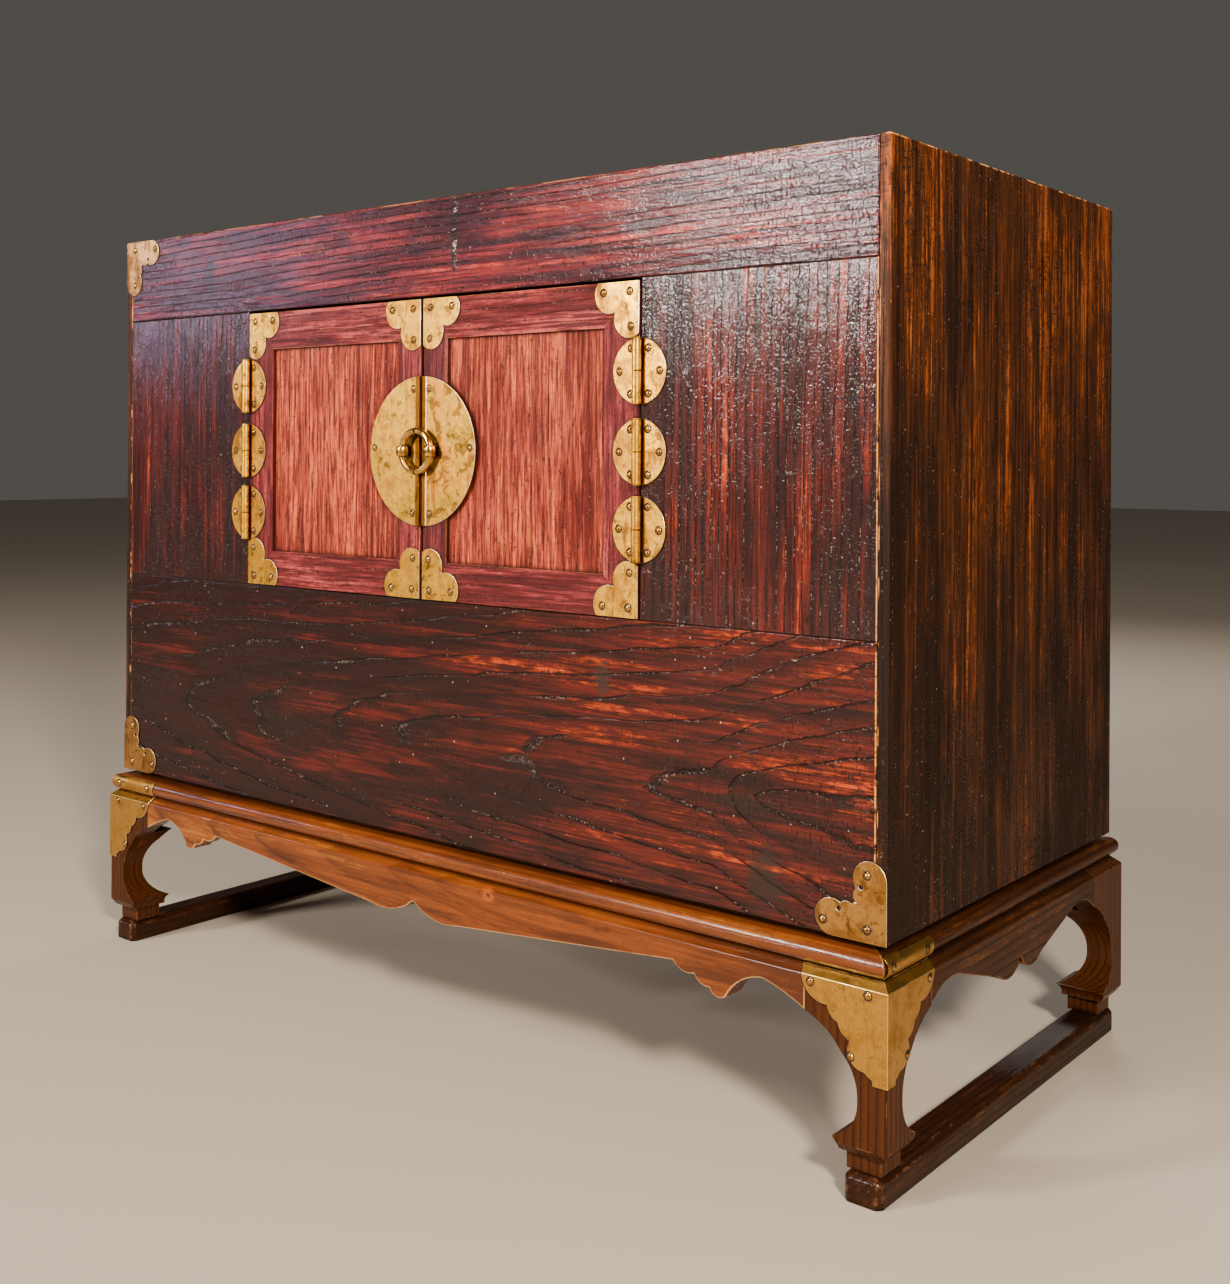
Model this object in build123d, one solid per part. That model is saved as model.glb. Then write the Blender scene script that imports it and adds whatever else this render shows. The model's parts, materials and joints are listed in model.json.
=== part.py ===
# Low Korean chest: a board-built case with a pair of small front doors, on its own stand.
# Millimetres, +Z up, front towards -Y. The origin is on the floor under the middle of the chest.

import os
from math import cos, pi, radians, sin, sqrt

from build123d import *

os.makedirs("parts", exist_ok=True)

# Case
case_width = 900
case_depth = 404
case_height = 552
side_thick = 20
side_lip = 9  # width of a side board's edge that shows from the front
front_thick = 18
top_thick = 18
floor_thick = 18
housing = 6  # how far the top and the floor run into the sides
back_thick = 12
back_rebate = 10
back_plank_count = 3
tongue_thick = 6
tongue_length = 8
front_top_height = 83.7

# Doors, measured from the seam where they meet
seam_offset = -4  # the pair of doors hangs a little left of the middle
door_width = 237
door_height = 259.8
seam_gap = 3.5
side_gap = 1.5
gap_above = 2.2
gap_below = 0.7
hinge_stile = 35
meeting_stile = 28.5
top_rail = 35.4
bottom_rail = 32.5
panel_recess = 3
panel_thick = 8
panel_groove = 6
stop_gap = 0.3
stop_thick = 12
stop_height = 26
stop_lap = 8  # how far a stop reaches past the opening's edge
stop_run = 20  # how far it runs on beyond each side of the opening

# Stand: heights add up from the floor
runner_height = 21
neck_height = 13
toe_height = 9
ankle_height = 29
calf_height = 29.6
knee_height = 22
apron_edge = 25.1
bevel_height = 6.9
moulding_height = 15.9
bearer_height = 4.5

# Stand: widths
stand_overhang_x = 6.5
stand_overhang_y = 11.5
bevel_run = 8
leg_width = 64
leaf_thick = 22
pocket_drop = 36.7  # the leg is hollowed behind from here up, below the arris
sole_inset = 4
sole_ease = 6
sole_width = 35
toe_reach = 42.5
ankle_width = 22.6
calf_width = 35
leg_bulges = (1.5, 6, 3.5, 3)  # of the arcs to the toe, the ankle, the calf and the joint
neck_inset = 4
neck_tenon = 14
neck_tenon_length = 12
apron_tenon_thick = 8
apron_tenon_length = 14
apron_tenon_set = 7
apron_tenon_shoulder = 4
moulding_inset = 2.5
moulding_depth_inset = 0.5
moulding_width = 40
runner_width = 30
runner_inset_x = 5.5
runner_inset_y = 2.5
runner_round = 4
runner_chamfer = 4
bearer_width = 30
bearer_setback = 12

# Brass
sheet = 1.2
nail_shank = 1.8
nail_length = 8
nail_head = 2.8
nail_top = 1.4
nail_sides = 6
nail_dome = 1.6
hinge_spread = 9.4  # free height between two of the three hinges
lower_hinge_lap = 1  # the lowest hinge reaches this far down beside the corner plate's lobe
upper_hinge_gap = 0.3
knuckle_radius = 4
knuckle_offset = 4.4
knuckle_gap = 0.4
knuckle_relief = 0.3
pin_radius = 1.75
pin_play = 0.05
forged_sides = 8  # flats round a knuckle, a pin or an eye, as the hammer leaves them
hinge_nail_inset = 6
hinge_nail_turns = (-64, 0, 64)  # degrees from level
lock_radius = 65
lock_drop = 1.9  # the lock plate's centre is this far below the middle of the doors
lock_band = 5
lock_band_height = 0.8
lock_nails = ((9.5, 54), (59, 3), (10.5, -54))
door_plate_lobe = 15
door_plate_reach = 29
door_plate_near = 9.5
door_plate_nails = ((9, 8), (35, 8), (8, 35))
case_plate_reach = 43
case_plate_lobe = 13
case_plate_step = 31
case_plate_step_lobe = 6.3
case_plate_width = 26
case_plate_hole = 2
case_plate_nails = ((15, 9), (50, 10), (15, 46))
strap_sheet = 1
strap_length = 70
strap_half_height = 7
strap_nails = (12, 61)
mount_lap = 5  # how far a leg mount runs on over the apron
mount_tip_drop = 63.2
mount_top_ease = 0.7

# Cusps and nails of a leg mount: how far back from its end, and how far below the arris
mount_cusps = ((52, 55.7), (41.4, 37.2), (31.7, 26.7), (23.3, 16.7), (2.5, -1))
mount_bulges = (-1.2, -6.5, -2.2, -2.2, -6)
mount_nails = ((10, 3.6), (55, 3.6), (42, 47.5))

# Lower edges of the aprons: points out from the middle, then points back from the leg, each
# with its drop below the arris. A bulge is the height of an arc, and 0 is straight.
front_middle = ((0, 25.2), (6, 29), (54, 35.9))
front_scallops = ((114.5, 15.2), (95, 21.2), (81.5, 28.2), (67, 31.7), (35, 11.2))
front_bulges = (0.6, -4.6, 0, -3.3, -2.5, -3.8, 5, 1.2)
side_middle = ((0, 28.7), (5, 35.2), (38, 35.2))
side_scallops = ((49.5, 16.2),)
side_bulges = (0.6, -5.5, 0, 7)

# Ring pull, made as two halves that meet at the seam
ring_radius = 17.4
ring_wire = 3.2
ring_sides = 8
ring_flats = 9
ring_gap = 1.5
ring_offset = 7
eye_band = 9
eye_wall = 1.8
eye_play = 0.1
eye_shank = 3.6
clinch_length = 10
clinch_thick = 1.6

# Levels worked out from the sizes above
sole_z = runner_height + neck_height
toe_z = sole_z + toe_height
ankle_z = toe_z + ankle_height
calf_z = ankle_z + calf_height
spring_z = calf_z + knee_height
arris_z = spring_z + apron_edge
apron_top_z = arris_z + bevel_height
moulding_top_z = apron_top_z + moulding_height
case_z = moulding_top_z + bearer_height
case_top_z = case_z + case_height
bottom_board_height = case_height - front_top_height - gap_above - door_height - gap_below
door_z = case_z + bottom_board_height + gap_below
door_top_z = door_z + door_height
opening_z = case_z + bottom_board_height
opening_top_z = door_top_z + gap_above
lock_z = door_z + door_height / 2 - lock_drop

half_width = case_width / 2
half_depth = case_depth / 2
stand_half_width = half_width + stand_overhang_x
stand_half_depth = half_depth + stand_overhang_y
joint_x = stand_half_width - leg_width
joint_y = stand_half_depth - leg_width
face_y = -half_depth
inner_y = face_y + front_thick
back_y = half_depth - back_thick
boards_half_width = half_width - side_lip
door_near = seam_gap / 2
door_far = door_near + door_width
hinge_x = door_far + side_gap / 2
opening_half = door_far + side_gap
plate_y = face_y - sheet
plate_end = door_plate_reach + door_plate_lobe
hinge_radius = (door_height - 2 * plate_end - 2 * hinge_spread) / 6
hinge_levels = [
    door_z + plate_end + hinge_radius - lower_hinge_lap,
    lock_z,
    door_top_z - plate_end - hinge_radius - upper_hinge_gap,
]
mount_length = leg_width + mount_lap
over = 1  # how far a cutting shape runs past what it cuts

# The nail heads stand proud of the front only, so the chest sits this much behind the origin.
balance_y = (sheet + nail_dome) / 2


def outline(edges):
    """A flat face inside a closed run of edges."""
    return Face(Wire(edges))


def poly(*points):
    """A flat face with straight sides."""
    return outline([Line(a, b) for a, b in zip(points, points[1:] + points[:1])])


def block(x_span, y_span, z_span):
    """A rectangular piece between three pairs of coordinates."""
    lows = [min(span) for span in (x_span, y_span, z_span)]
    highs = [max(span) for span in (x_span, y_span, z_span)]
    size = [high - low for low, high in zip(lows, highs)]
    return Pos(*lows) * Box(*size, align=(Align.MIN, Align.MIN, Align.MIN))


def front_cut(face, y_front, y_back):
    """A profile drawn in X and Z, carried from y_front back to y_back."""
    placed = Plane.XZ.offset(-y_back) * face
    return extrude(placed, y_back - y_front, dir=(0, -1, 0))


def side_cut(face, x_low, x_high):
    """A profile drawn in Y and Z, carried from x_low to x_high."""
    placed = Plane.YZ.offset(x_low) * face
    return extrude(placed, x_high - x_low, dir=(1, 0, 0))


def corner_cut(face, half_x, half_y, reach):
    """The same profile cut from the front and from the side at the front left corner of a
    rectangle half_x by half_y. Its first coordinate runs inwards from the corner."""
    spread = reach + moulding_height
    from_front = Pos(-half_x, 0, 0) * front_cut(face, -half_y - spread, -half_y + spread)
    from_side = Pos(0, -half_y, 0) * side_cut(face, -half_x - spread, -half_x + spread)
    return from_front & from_side


def flip_x(shape):
    return mirror(shape, about=Plane.YZ)


def flip_y(shape):
    return mirror(shape, about=Plane.XZ)


def save(name, *shapes):
    """One node: every solid in shapes, moved to the balanced place."""
    solids = [solid for shape in shapes for solid in shape.solids()]
    export_step(Compound([Pos(0, balance_y, 0) * solid for solid in solids]), f"parts/{name}.step")


# ---------------------------------------------------------------- nails
# They are driven through the thin brass and into undrilled wood, so each one is a tight fit.


def nail_crown():
    """Hand-made nail head: a low six-sided dome, narrower at its top."""
    turns = range(nail_sides)
    angles = [2 * pi * i / nail_sides for i in turns]
    rim = [Vector(nail_head * cos(a), 0, nail_head * sin(a)) for a in angles]
    top = [Vector(nail_top * cos(a), -nail_dome, nail_top * sin(a)) for a in angles]
    sides = [(rim[i - 1], rim[i], top[i], top[i - 1]) for i in turns]
    faces = [Face(Wire.make_polygon(corners)) for corners in (rim, top, *sides)]
    return Solid(Shell(faces))


nail_pin = block(
    (-nail_shank / 2, nail_shank / 2), (0, nail_length), (-nail_shank / 2, nail_shank / 2)
)
nail = nail_crown() + nail_pin
turn_left = -90


def driven(places):
    """Nails at these places. A place has its origin on the plate, with -Y outwards."""
    return [place * nail for place in places]


# ---------------------------------------------------------------- legs

def run(points):
    """Straight edges from point to point."""
    return [Line(a, b) for a, b in zip(points, points[1:])]


def scalloped(points, bulges):
    """Arcs from point to point. A bulge is the arc's height to the left, and 0 is straight."""
    return [
        SagittaArc(a, b, bulge) if bulge else Line(a, b)
        for a, b, bulge in zip(points, points[1:], bulges)
    ]


def leg_profile():
    """Foot, hollow instep, narrow ankle, calf and the sweep out to the apron joint."""
    inside = [
        (sole_inset + sole_width, sole_z),
        (toe_reach, toe_z),
        (ankle_width, ankle_z),
        (calf_width, calf_z),
        (leg_width, spring_z),
    ]
    outside = [
        inside[-1],
        (leg_width, apron_top_z),
        (bevel_run, apron_top_z),
        (0, arris_z),
        (0, sole_z + sole_ease),
        (sole_inset, sole_z),
        inside[0],
    ]
    return outline(scalloped(inside, leg_bulges) + run(outside))


tenon_z = (spring_z + apron_tenon_shoulder, arris_z)
tenon_depth = (apron_tenon_set, apron_tenon_set + apron_tenon_thick)
neck_span = (sole_inset + neck_inset, sole_inset + sole_width - neck_inset)
neck_middle = sum(neck_span) / 2
neck_tenon_span = (neck_middle - neck_tenon / 2, neck_middle + neck_tenon / 2)
corner = Pos(-stand_half_width, -stand_half_depth, 0)
neck_tenon_solid = corner * block(
    neck_tenon_span, neck_tenon_span, (runner_height - neck_tenon_length, runner_height)
)


def front_left_leg():
    post = corner_cut(leg_profile(), stand_half_width, stand_half_depth, leg_width)
    pocket = (leaf_thick, leg_width + over)
    mortise_run = (leg_width - apron_tenon_length, leg_width)
    return (
        post
        - corner * block(pocket, pocket, (arris_z - pocket_drop, apron_top_z))
        - corner * block(mortise_run, tenon_depth, tenon_z)
        - corner * block(tenon_depth, mortise_run, tenon_z)
        + corner * block(neck_span, neck_span, (runner_height, sole_z))
        + neck_tenon_solid
    )


# ---------------------------------------------------------------- brass on the stand

def leg_mount_leaf():
    """One leaf of the mount: lobes and cusps that follow the knee down to a pointed tip."""
    tip = (0, arris_z - mount_tip_drop)
    top_z = apron_top_z - mount_top_ease
    cusps = [tip] + [(mount_length - back, arris_z - drop) for back, drop in mount_cusps]
    wrapped = -2 * sheet
    rest = [cusps[-1], (mount_length, top_z), (wrapped, top_z), (wrapped, tip[1]), tip]
    return outline(scalloped(cusps, mount_bulges) + run(rest))


def bevelled_profile(offset):
    """Upright face and bevel of the stand, moved outwards by the thickness of a sheet."""
    slant = sqrt(bevel_run**2 + bevel_height**2)
    lift = offset * slant / bevel_run
    slope = bevel_height / bevel_run
    inner = mount_length + over
    return poly(
        (-offset, sole_z),
        (inner, sole_z),
        (inner, arris_z + lift + slope * inner),
        (-offset, arris_z + lift - slope * offset),
    )


def left_leg_mount():
    reach = mount_length + 2 * over
    skin = corner_cut(bevelled_profile(sheet), stand_half_width, stand_half_depth, reach)
    skin -= corner_cut(bevelled_profile(0), stand_half_width, stand_half_depth, reach)
    held = leg_profile() + Pos(leg_width, spring_z) * Rectangle(
        reach, apron_top_z - spring_z, align=(Align.CENTER, Align.MIN)
    )
    held += Pos(-sheet, sole_z) * Rectangle(
        2 * sheet + ankle_width / 2, apron_top_z - sole_z, align=(Align.MIN, Align.MIN)
    )
    leaf = leg_mount_leaf() & held
    depth = bevel_run + 2 * sheet
    front = Pos(-stand_half_width, 0, 0) * front_cut(
        leaf, -stand_half_depth - 2 * sheet, -stand_half_depth + depth
    )
    side = Pos(0, -stand_half_depth, 0) * side_cut(
        leaf, -stand_half_width - 2 * sheet, -stand_half_width + depth
    )
    return skin & (front + side)


mount_front_places = [
    Pos(mount_length - back - stand_half_width, -stand_half_depth - sheet, arris_z - drop)
    for back, drop in mount_nails
]
mount_side_places = [
    Pos(-stand_half_width - sheet, mount_length - back - stand_half_depth, arris_z - drop)
    * Rot(0, 0, turn_left)
    for back, drop in (mount_nails[0], mount_nails[2])
]
left_mount_nails = driven(mount_front_places + mount_side_places)

moulding_half_x = stand_half_width - moulding_inset
moulding_half_y = stand_half_depth - moulding_depth_inset
nose = moulding_height / 2
moulding_mid_z = apron_top_z + nose


def nosed_profile(offset, reach):
    """Section of the moulding with its half round nose, moved outwards by a sheet."""
    nose_disc = Pos(nose, moulding_mid_z) * Circle(nose + offset)
    board = Pos(nose, moulding_mid_z) * Rectangle(
        reach - nose, moulding_height + 2 * offset, align=(Align.MIN, Align.CENTER)
    )
    return (nose_disc + board).face()


def left_strap():
    """Thin brass bent over the nose of the moulding, round the front left corner."""
    reach = strap_length + moulding_width
    skin = corner_cut(nosed_profile(strap_sheet, reach), moulding_half_x, moulding_half_y, reach)
    skin -= corner_cut(nosed_profile(0, reach), moulding_half_x, moulding_half_y, reach)
    return skin & Pos(-moulding_half_x, -moulding_half_y, 0) * block(
        (-nose, strap_length),
        (-nose, strap_length),
        (moulding_mid_z - strap_half_height, moulding_mid_z + strap_half_height),
    )


strap_front_places = [
    Pos(u - moulding_half_x, -moulding_half_y - strap_sheet, moulding_mid_z) for u in strap_nails
]
strap_side_places = [
    Pos(-moulding_half_x - strap_sheet, u - moulding_half_y, moulding_mid_z) * Rot(0, 0, turn_left)
    for u in strap_nails
]

# ---------------------------------------------------------------- aprons


def apron_outline(middle, scallops, bulges, end_x):
    """The lower edge, drawn from the middle to the leg and mirrored, under a straight top."""
    points = [(out, arris_z - drop) for out, drop in middle]
    points += [(end_x - back, arris_z - drop) for back, drop in scallops]
    half = scalloped(points + [(end_x, spring_z)], bulges)
    mirrored = [edge.mirror(Plane.YZ) for edge in half]
    top = [(-end_x, spring_z), (-end_x, apron_top_z), (end_x, apron_top_z), (end_x, spring_z)]
    return outline(half + mirrored + run(top))


def apron_section():
    """Section of an apron, first coordinate inwards from its outer face."""
    low = arris_z - 2 * pocket_drop
    return poly(
        (0, low),
        (leaf_thick, low),
        (leaf_thick, apron_top_z),
        (bevel_run, apron_top_z),
        (0, arris_z),
    )


def front_apron():
    edge = apron_outline(front_middle, front_scallops, front_bulges, joint_x)
    board = front_cut(edge, -stand_half_depth, -stand_half_depth + leaf_thick)
    section = Pos(0, -stand_half_depth, 0) * side_cut(apron_section(), -joint_x, joint_x)
    reach = joint_x + apron_tenon_length
    depth = [-stand_half_depth + inset for inset in tenon_depth]
    tenons = block((-reach, reach), depth, tenon_z) - block((-joint_x, joint_x), depth, tenon_z)
    return (board & section) + tenons


def left_apron():
    edge = apron_outline(side_middle, side_scallops, side_bulges, joint_y)
    board = side_cut(edge, -stand_half_width, -stand_half_width + leaf_thick)
    section = Pos(-stand_half_width, 0, 0) * front_cut(apron_section(), -joint_y, joint_y)
    reach = joint_y + apron_tenon_length
    depth = [-stand_half_width + inset for inset in tenon_depth]
    tenons = block(depth, (-reach, reach), tenon_z) - block(depth, (-joint_y, joint_y), tenon_z)
    return (board & section) + tenons


# ---------------------------------------------------------------- moulding, runners, bearers

def front_moulding():
    bar = Pos(0, -moulding_half_y, 0) * side_cut(
        nosed_profile(0, moulding_width), -moulding_half_x, moulding_half_x
    )
    plan = poly(
        (-moulding_half_x, -moulding_half_y),
        (moulding_half_x, -moulding_half_y),
        (moulding_half_x - moulding_width, -moulding_half_y + moulding_width),
        (-moulding_half_x + moulding_width, -moulding_half_y + moulding_width),
    )
    return bar & Pos(0, 0, apron_top_z) * extrude(plan, moulding_height, dir=(0, 0, 1))


def left_moulding():
    bar = Pos(-moulding_half_x, 0, 0) * front_cut(
        nosed_profile(0, moulding_width), -moulding_half_y, moulding_half_y
    )
    plan = poly(
        (-moulding_half_x, -moulding_half_y),
        (-moulding_half_x + moulding_width, -moulding_half_y + moulding_width),
        (-moulding_half_x + moulding_width, moulding_half_y - moulding_width),
        (-moulding_half_x, moulding_half_y),
    )
    return bar & Pos(0, 0, apron_top_z) * extrude(plan, moulding_height, dir=(0, 0, 1))


def left_runner():
    x_low = -stand_half_width + runner_inset_x
    y_end = stand_half_depth - runner_inset_y
    runner = block((x_low, x_low + runner_width), (-y_end, y_end), (0, runner_height))
    runner = chamfer(runner.edges().filter_by(Axis.Z), runner_round)
    runner = chamfer(runner.faces().sort_by(Axis.Z)[-1].edges(), runner_chamfer)
    return runner - neck_tenon_solid - flip_y(neck_tenon_solid)


def bearers():
    """Battens that lift the case clear of the moulding, set back out of sight."""
    x_out = half_width - bearer_setback
    y_out = half_depth - bearer_setback
    z_span = (moulding_top_z, case_z)
    long_batten = block((-x_out, x_out), (-y_out, -y_out + bearer_width), z_span)
    y_in = y_out - bearer_width
    short_batten = block((-x_out, -x_out + bearer_width), (-y_in, y_in), z_span)
    return [long_batten, flip_y(long_batten), short_batten, flip_x(short_batten)]


leg = front_left_leg()
mount = left_leg_mount()
save("leg_front_left", leg)
save("leg_front_right", flip_x(leg))
save("leg_back_left", flip_y(leg))
save("leg_back_right", flip_x(flip_y(leg)))
save("leg_mount_left", mount)
save("leg_mount_right", flip_x(mount))

save("apron_front", front_apron())
save("apron_back", flip_y(front_apron()))
save("apron_left", left_apron())
save("apron_right", flip_x(left_apron()))

strap = left_strap()
strap_side_only = strap - block(
    (-moulding_half_x - nose, -moulding_half_x + strap_length + nose),
    (-moulding_half_y - nose, -moulding_half_y + nose / 2),
    (apron_top_z, moulding_top_z),
)
save("moulding_strap_left", strap)
save("moulding_strap_right", flip_x(strap_side_only))
save("moulding_front", front_moulding())
save("moulding_back", flip_y(front_moulding()))
save("moulding_left", left_moulding())
save("moulding_right", flip_x(left_moulding()))
strap_left_nails = driven(strap_front_places + strap_side_places)
right_strap_nails = [flip_x(each) for each in driven(strap_side_places)]
right_mount_nails = [flip_x(each) for each in left_mount_nails]
save("stand_nails", *left_mount_nails, *right_mount_nails, *strap_left_nails, *right_strap_nails)

save("runner_left", left_runner())
save("runner_right", flip_x(left_runner()))
save("case_bearers", *bearers())

# ---------------------------------------------------------------- case


def left_side_board():
    inner = -half_width + side_thick
    board = block((-half_width, inner), (-half_depth, half_depth), (case_z, case_top_z))
    lip = block((-boards_half_width, inner), (face_y, inner_y), (case_z, case_top_z))
    back = block((inner - back_rebate, inner), (back_y, half_depth), (case_z, case_top_z))
    held = (inner - housing, inner)
    for z_span in ((case_z, case_z + floor_thick), (case_top_z - top_thick, case_top_z)):
        board -= block(held, (inner_y, back_y), z_span)
    return board - lip - back


def flat_board(z_span):
    """The top or the floor, between the front boards and the back."""
    x_end = half_width - side_thick + housing
    return block((-x_end, x_end), (inner_y, back_y), z_span)


def back_planks():
    """Horizontal planks in the rebates of the sides."""
    x_end = half_width - side_thick + back_rebate
    step = case_height / back_plank_count
    levels = [case_z + step * i for i in range(back_plank_count)]
    return [block((-x_end, x_end), (back_y, half_depth), (z, z + step)) for z in levels]


def flank(x_near, x_far):
    """The upright board between a door and a side, tongued into the boards above and below."""
    board = block((x_near, x_far), (face_y, inner_y), (opening_z, opening_top_z))
    middle = (face_y + inner_y) / 2
    tongue_y = (middle - tongue_thick / 2, middle + tongue_thick / 2)
    tongue = (opening_z - tongue_length, opening_top_z + tongue_length)
    return board + block((x_near, x_far), tongue_y, tongue)


def door_stop(z_edge, upwards):
    """A batten behind the edge of the opening, which a closed door meets."""
    z_in = z_edge - upwards * stop_lap
    z_out = z_in + upwards * stop_height
    half = opening_half + stop_run
    return block(
        (seam_offset - half, seam_offset + half), (inner_y, inner_y + stop_thick), (z_in, z_out)
    )


def about_seam(shape, side):
    """A shape drawn for the right door, placed for the door on that side of the seam."""
    return Pos(seam_offset, 0, 0) * (shape if side > 0 else flip_x(shape))


def case_plate():
    """Corner plate: two legs, each with a small lobe, a pierced hole and a large end lobe."""
    leg = Rectangle(case_plate_reach, 2 * case_plate_step_lobe, align=(Align.MIN, Align.MIN))
    leg = leg + Rectangle(case_plate_width, case_plate_width, align=(Align.MIN, Align.MIN))
    lobe = Pos(case_plate_reach, case_plate_lobe) * Circle(case_plate_lobe)
    step_z = case_plate_width - case_plate_step_lobe
    step = Pos(case_plate_step, step_z) * Circle(case_plate_step_lobe)
    fill = Pos(case_plate_step, 0) * Rectangle(2 * case_plate_step_lobe, step_z, align=(
        Align.CENTER, Align.MIN
    ))
    hole_x = case_plate_step + case_plate_step_lobe
    hole = Pos(hole_x, step_z) * RegularPolygon(case_plate_hole, 8)
    shape = leg + lobe + step + fill - hole
    turned = mirror(shape, about=Plane((0, 0, 0), x_dir=(1, 1, 0), z_dir=(1, -1, 0)))
    return shape + turned


def placed_plate(face, x_corner, z_corner, x_way, z_way):
    """A sheet on the front of the case, its legs running x_way and z_way from the corner."""
    plate = front_cut(face, plate_y, face_y)
    if x_way < 0:
        plate = flip_x(plate)
    if z_way < 0:
        plate = mirror(plate, about=Plane.XY)
    return Pos(x_corner, 0, z_corner) * plate


def plate_places(points, x_corner, z_corner, x_way, z_way):
    return [Pos(x_corner + x_way * x, plate_y, z_corner + z_way * z) for x, z in points]


# Three corner plates are left on the case. The upper right one is missing.
case_corners = [
    (-half_width, case_top_z, 1, -1),
    (-half_width, case_z, 1, 1),
    (half_width, case_z, -1, 1),
]
case_places = [
    place for data in case_corners for place in plate_places(case_plate_nails, *data)
]
case_plates = [placed_plate(case_plate(), *data) for data in case_corners]
save("case_corner_plates", *case_plates)

# ---------------------------------------------------------------- hinges, drawn for the right door


def forged_rod(x, y, z_span, radius, across_flats=False):
    """An upright rod with hammered flats. radius is to its corners, or to its flats."""
    section = RegularPolygon(radius, forged_sides, major_radius=not across_flats)
    return Pos(x, y, z_span[0]) * extrude(section, z_span[1] - z_span[0], dir=(0, 0, 1))


def hinge_rod(z_span, radius, across_flats=False):
    return forged_rod(hinge_x, face_y - knuckle_offset, z_span, radius, across_flats)


def hinge_leaf(z, way):
    """One leaf of a round hinge. way is 1 for the leaf on the case and -1 for the one on the
    door. The lower knuckle belongs to the case and the upper one to the door."""
    lower = (z - hinge_radius, z - knuckle_gap / 2)
    upper = (z + knuckle_gap / 2, z + hinge_radius)
    own, other = (lower, upper) if way > 0 else (upper, lower)
    disc = Pos(hinge_x, z) * Circle(hinge_radius)
    inner = hinge_x + way * side_gap / 2
    half = disc & Pos(inner, z) * Rectangle(
        hinge_radius, 2 * hinge_radius, align=(Align.MIN if way > 0 else Align.MAX, Align.CENTER)
    )
    leaf = front_cut(half, plate_y, face_y)
    relief = way * (knuckle_radius + knuckle_relief)
    clear_z = (other[0] - knuckle_gap, other[1] + knuckle_gap)
    leaf -= block((hinge_x, hinge_x + relief), (plate_y, face_y), clear_z)
    if way > 0:
        bore = hinge_rod(own, pin_radius)
    else:
        bore = hinge_rod(own, pin_radius + pin_play, across_flats=True)
    return leaf + hinge_rod(own, knuckle_radius) - bore


def hinge_pin(z):
    """Driven into the lower knuckle and running in the upper one."""
    return hinge_rod((z - hinge_radius, z + hinge_radius), pin_radius)


def hinge_places(way):
    reach = hinge_radius - hinge_nail_inset
    turns = [radians(turn) for turn in hinge_nail_turns]
    return [
        Pos(hinge_x + way * reach * cos(turn), plate_y, z + reach * sin(turn))
        for z in hinge_levels
        for turn in turns
    ]


case_leaves = [hinge_leaf(z, 1) for z in hinge_levels]
case_nail_solids = driven(case_places)
for side, label in ((-1, "left"), (1, "right")):
    save(f"hinge_leaves_case_{label}", *[about_seam(leaf, side) for leaf in case_leaves])
    case_nail_solids += [about_seam(each, side) for each in driven(hinge_places(1))]
save("case_nails", *case_nail_solids)
save("hinge_pins", *[about_seam(hinge_pin(z), side) for z in hinge_levels for side in (-1, 1)])

save("side_board_left", left_side_board())
save("side_board_right", flip_x(left_side_board()))
save("top_board", flat_board((case_top_z - top_thick, case_top_z)))
save("floor_board", flat_board((case_z, case_z + floor_thick)))
save("back_planks", *back_planks())
opening_left = seam_offset - opening_half
opening_right = seam_offset + opening_half
flank_left = flank(-boards_half_width, opening_left)
flank_right = flank(opening_right, boards_half_width)
boards = (-boards_half_width, boards_half_width)
front_top = block(boards, (face_y, inner_y), (opening_top_z, case_top_z))
front_bottom = block(boards, (face_y, inner_y), (case_z, opening_z))
flanks = [flank_left, flank_right]
save("flank_left", flank_left)
save("flank_right", flank_right)
save("front_top_board", front_top - flanks)
save("front_bottom_board", front_bottom - flanks)
save("door_stops", door_stop(opening_top_z, 1), door_stop(opening_z, -1))

# ---------------------------------------------------------------- doors, drawn for the right one

door_back_y = inner_y - stop_gap
frame_x = (door_near + meeting_stile, door_far - hinge_stile)
frame_z = (door_z + bottom_rail, door_top_z - top_rail)
panel_y = (face_y + panel_recess, face_y + panel_recess + panel_thick)
panel = block(
    (frame_x[0] - panel_groove, frame_x[1] + panel_groove),
    panel_y,
    (frame_z[0] - panel_groove, frame_z[1] + panel_groove),
)
outer_corners = [
    (door_near, door_z),
    (door_far, door_z),
    (door_far, door_top_z),
    (door_near, door_top_z),
]
inner_corners = [
    (frame_x[0], frame_z[0]),
    (frame_x[1], frame_z[0]),
    (frame_x[1], frame_z[1]),
    (frame_x[0], frame_z[1]),
]


def frame_member(index):
    """A stile or rail, mitred from each outer corner to the inner one, with the panel's groove."""
    after = (index + 1) % len(outer_corners)
    plan = poly(outer_corners[index], outer_corners[after], inner_corners[after], inner_corners[index])
    return front_cut(plan, face_y, door_back_y) - panel


def door_plate():
    """Corner plate of a door: a large round lobe on each leg and a cusp between them."""
    far_lobe = Pos(door_plate_reach, door_plate_near) * Circle(door_plate_lobe)
    near_lobe = Pos(door_plate_near, door_plate_reach) * Circle(door_plate_lobe)
    middle = (door_plate_reach + door_plate_near) / 2
    heart = Rectangle(middle, middle, align=(Align.MIN, Align.MIN))
    quadrant = Rectangle(plate_end, plate_end, align=(Align.MIN, Align.MIN))
    return (far_lobe + near_lobe + heart) & quadrant


door_corners = [
    (door_near, door_z, 1, 1),
    (door_far, door_z, -1, 1),
    (door_far, door_top_z, -1, -1),
    (door_near, door_top_z, 1, -1),
]
plate_points = [
    place for data in door_corners for place in plate_places(door_plate_nails, *data)
]
door_plates = [placed_plate(door_plate(), *data) for data in door_corners]

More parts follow.
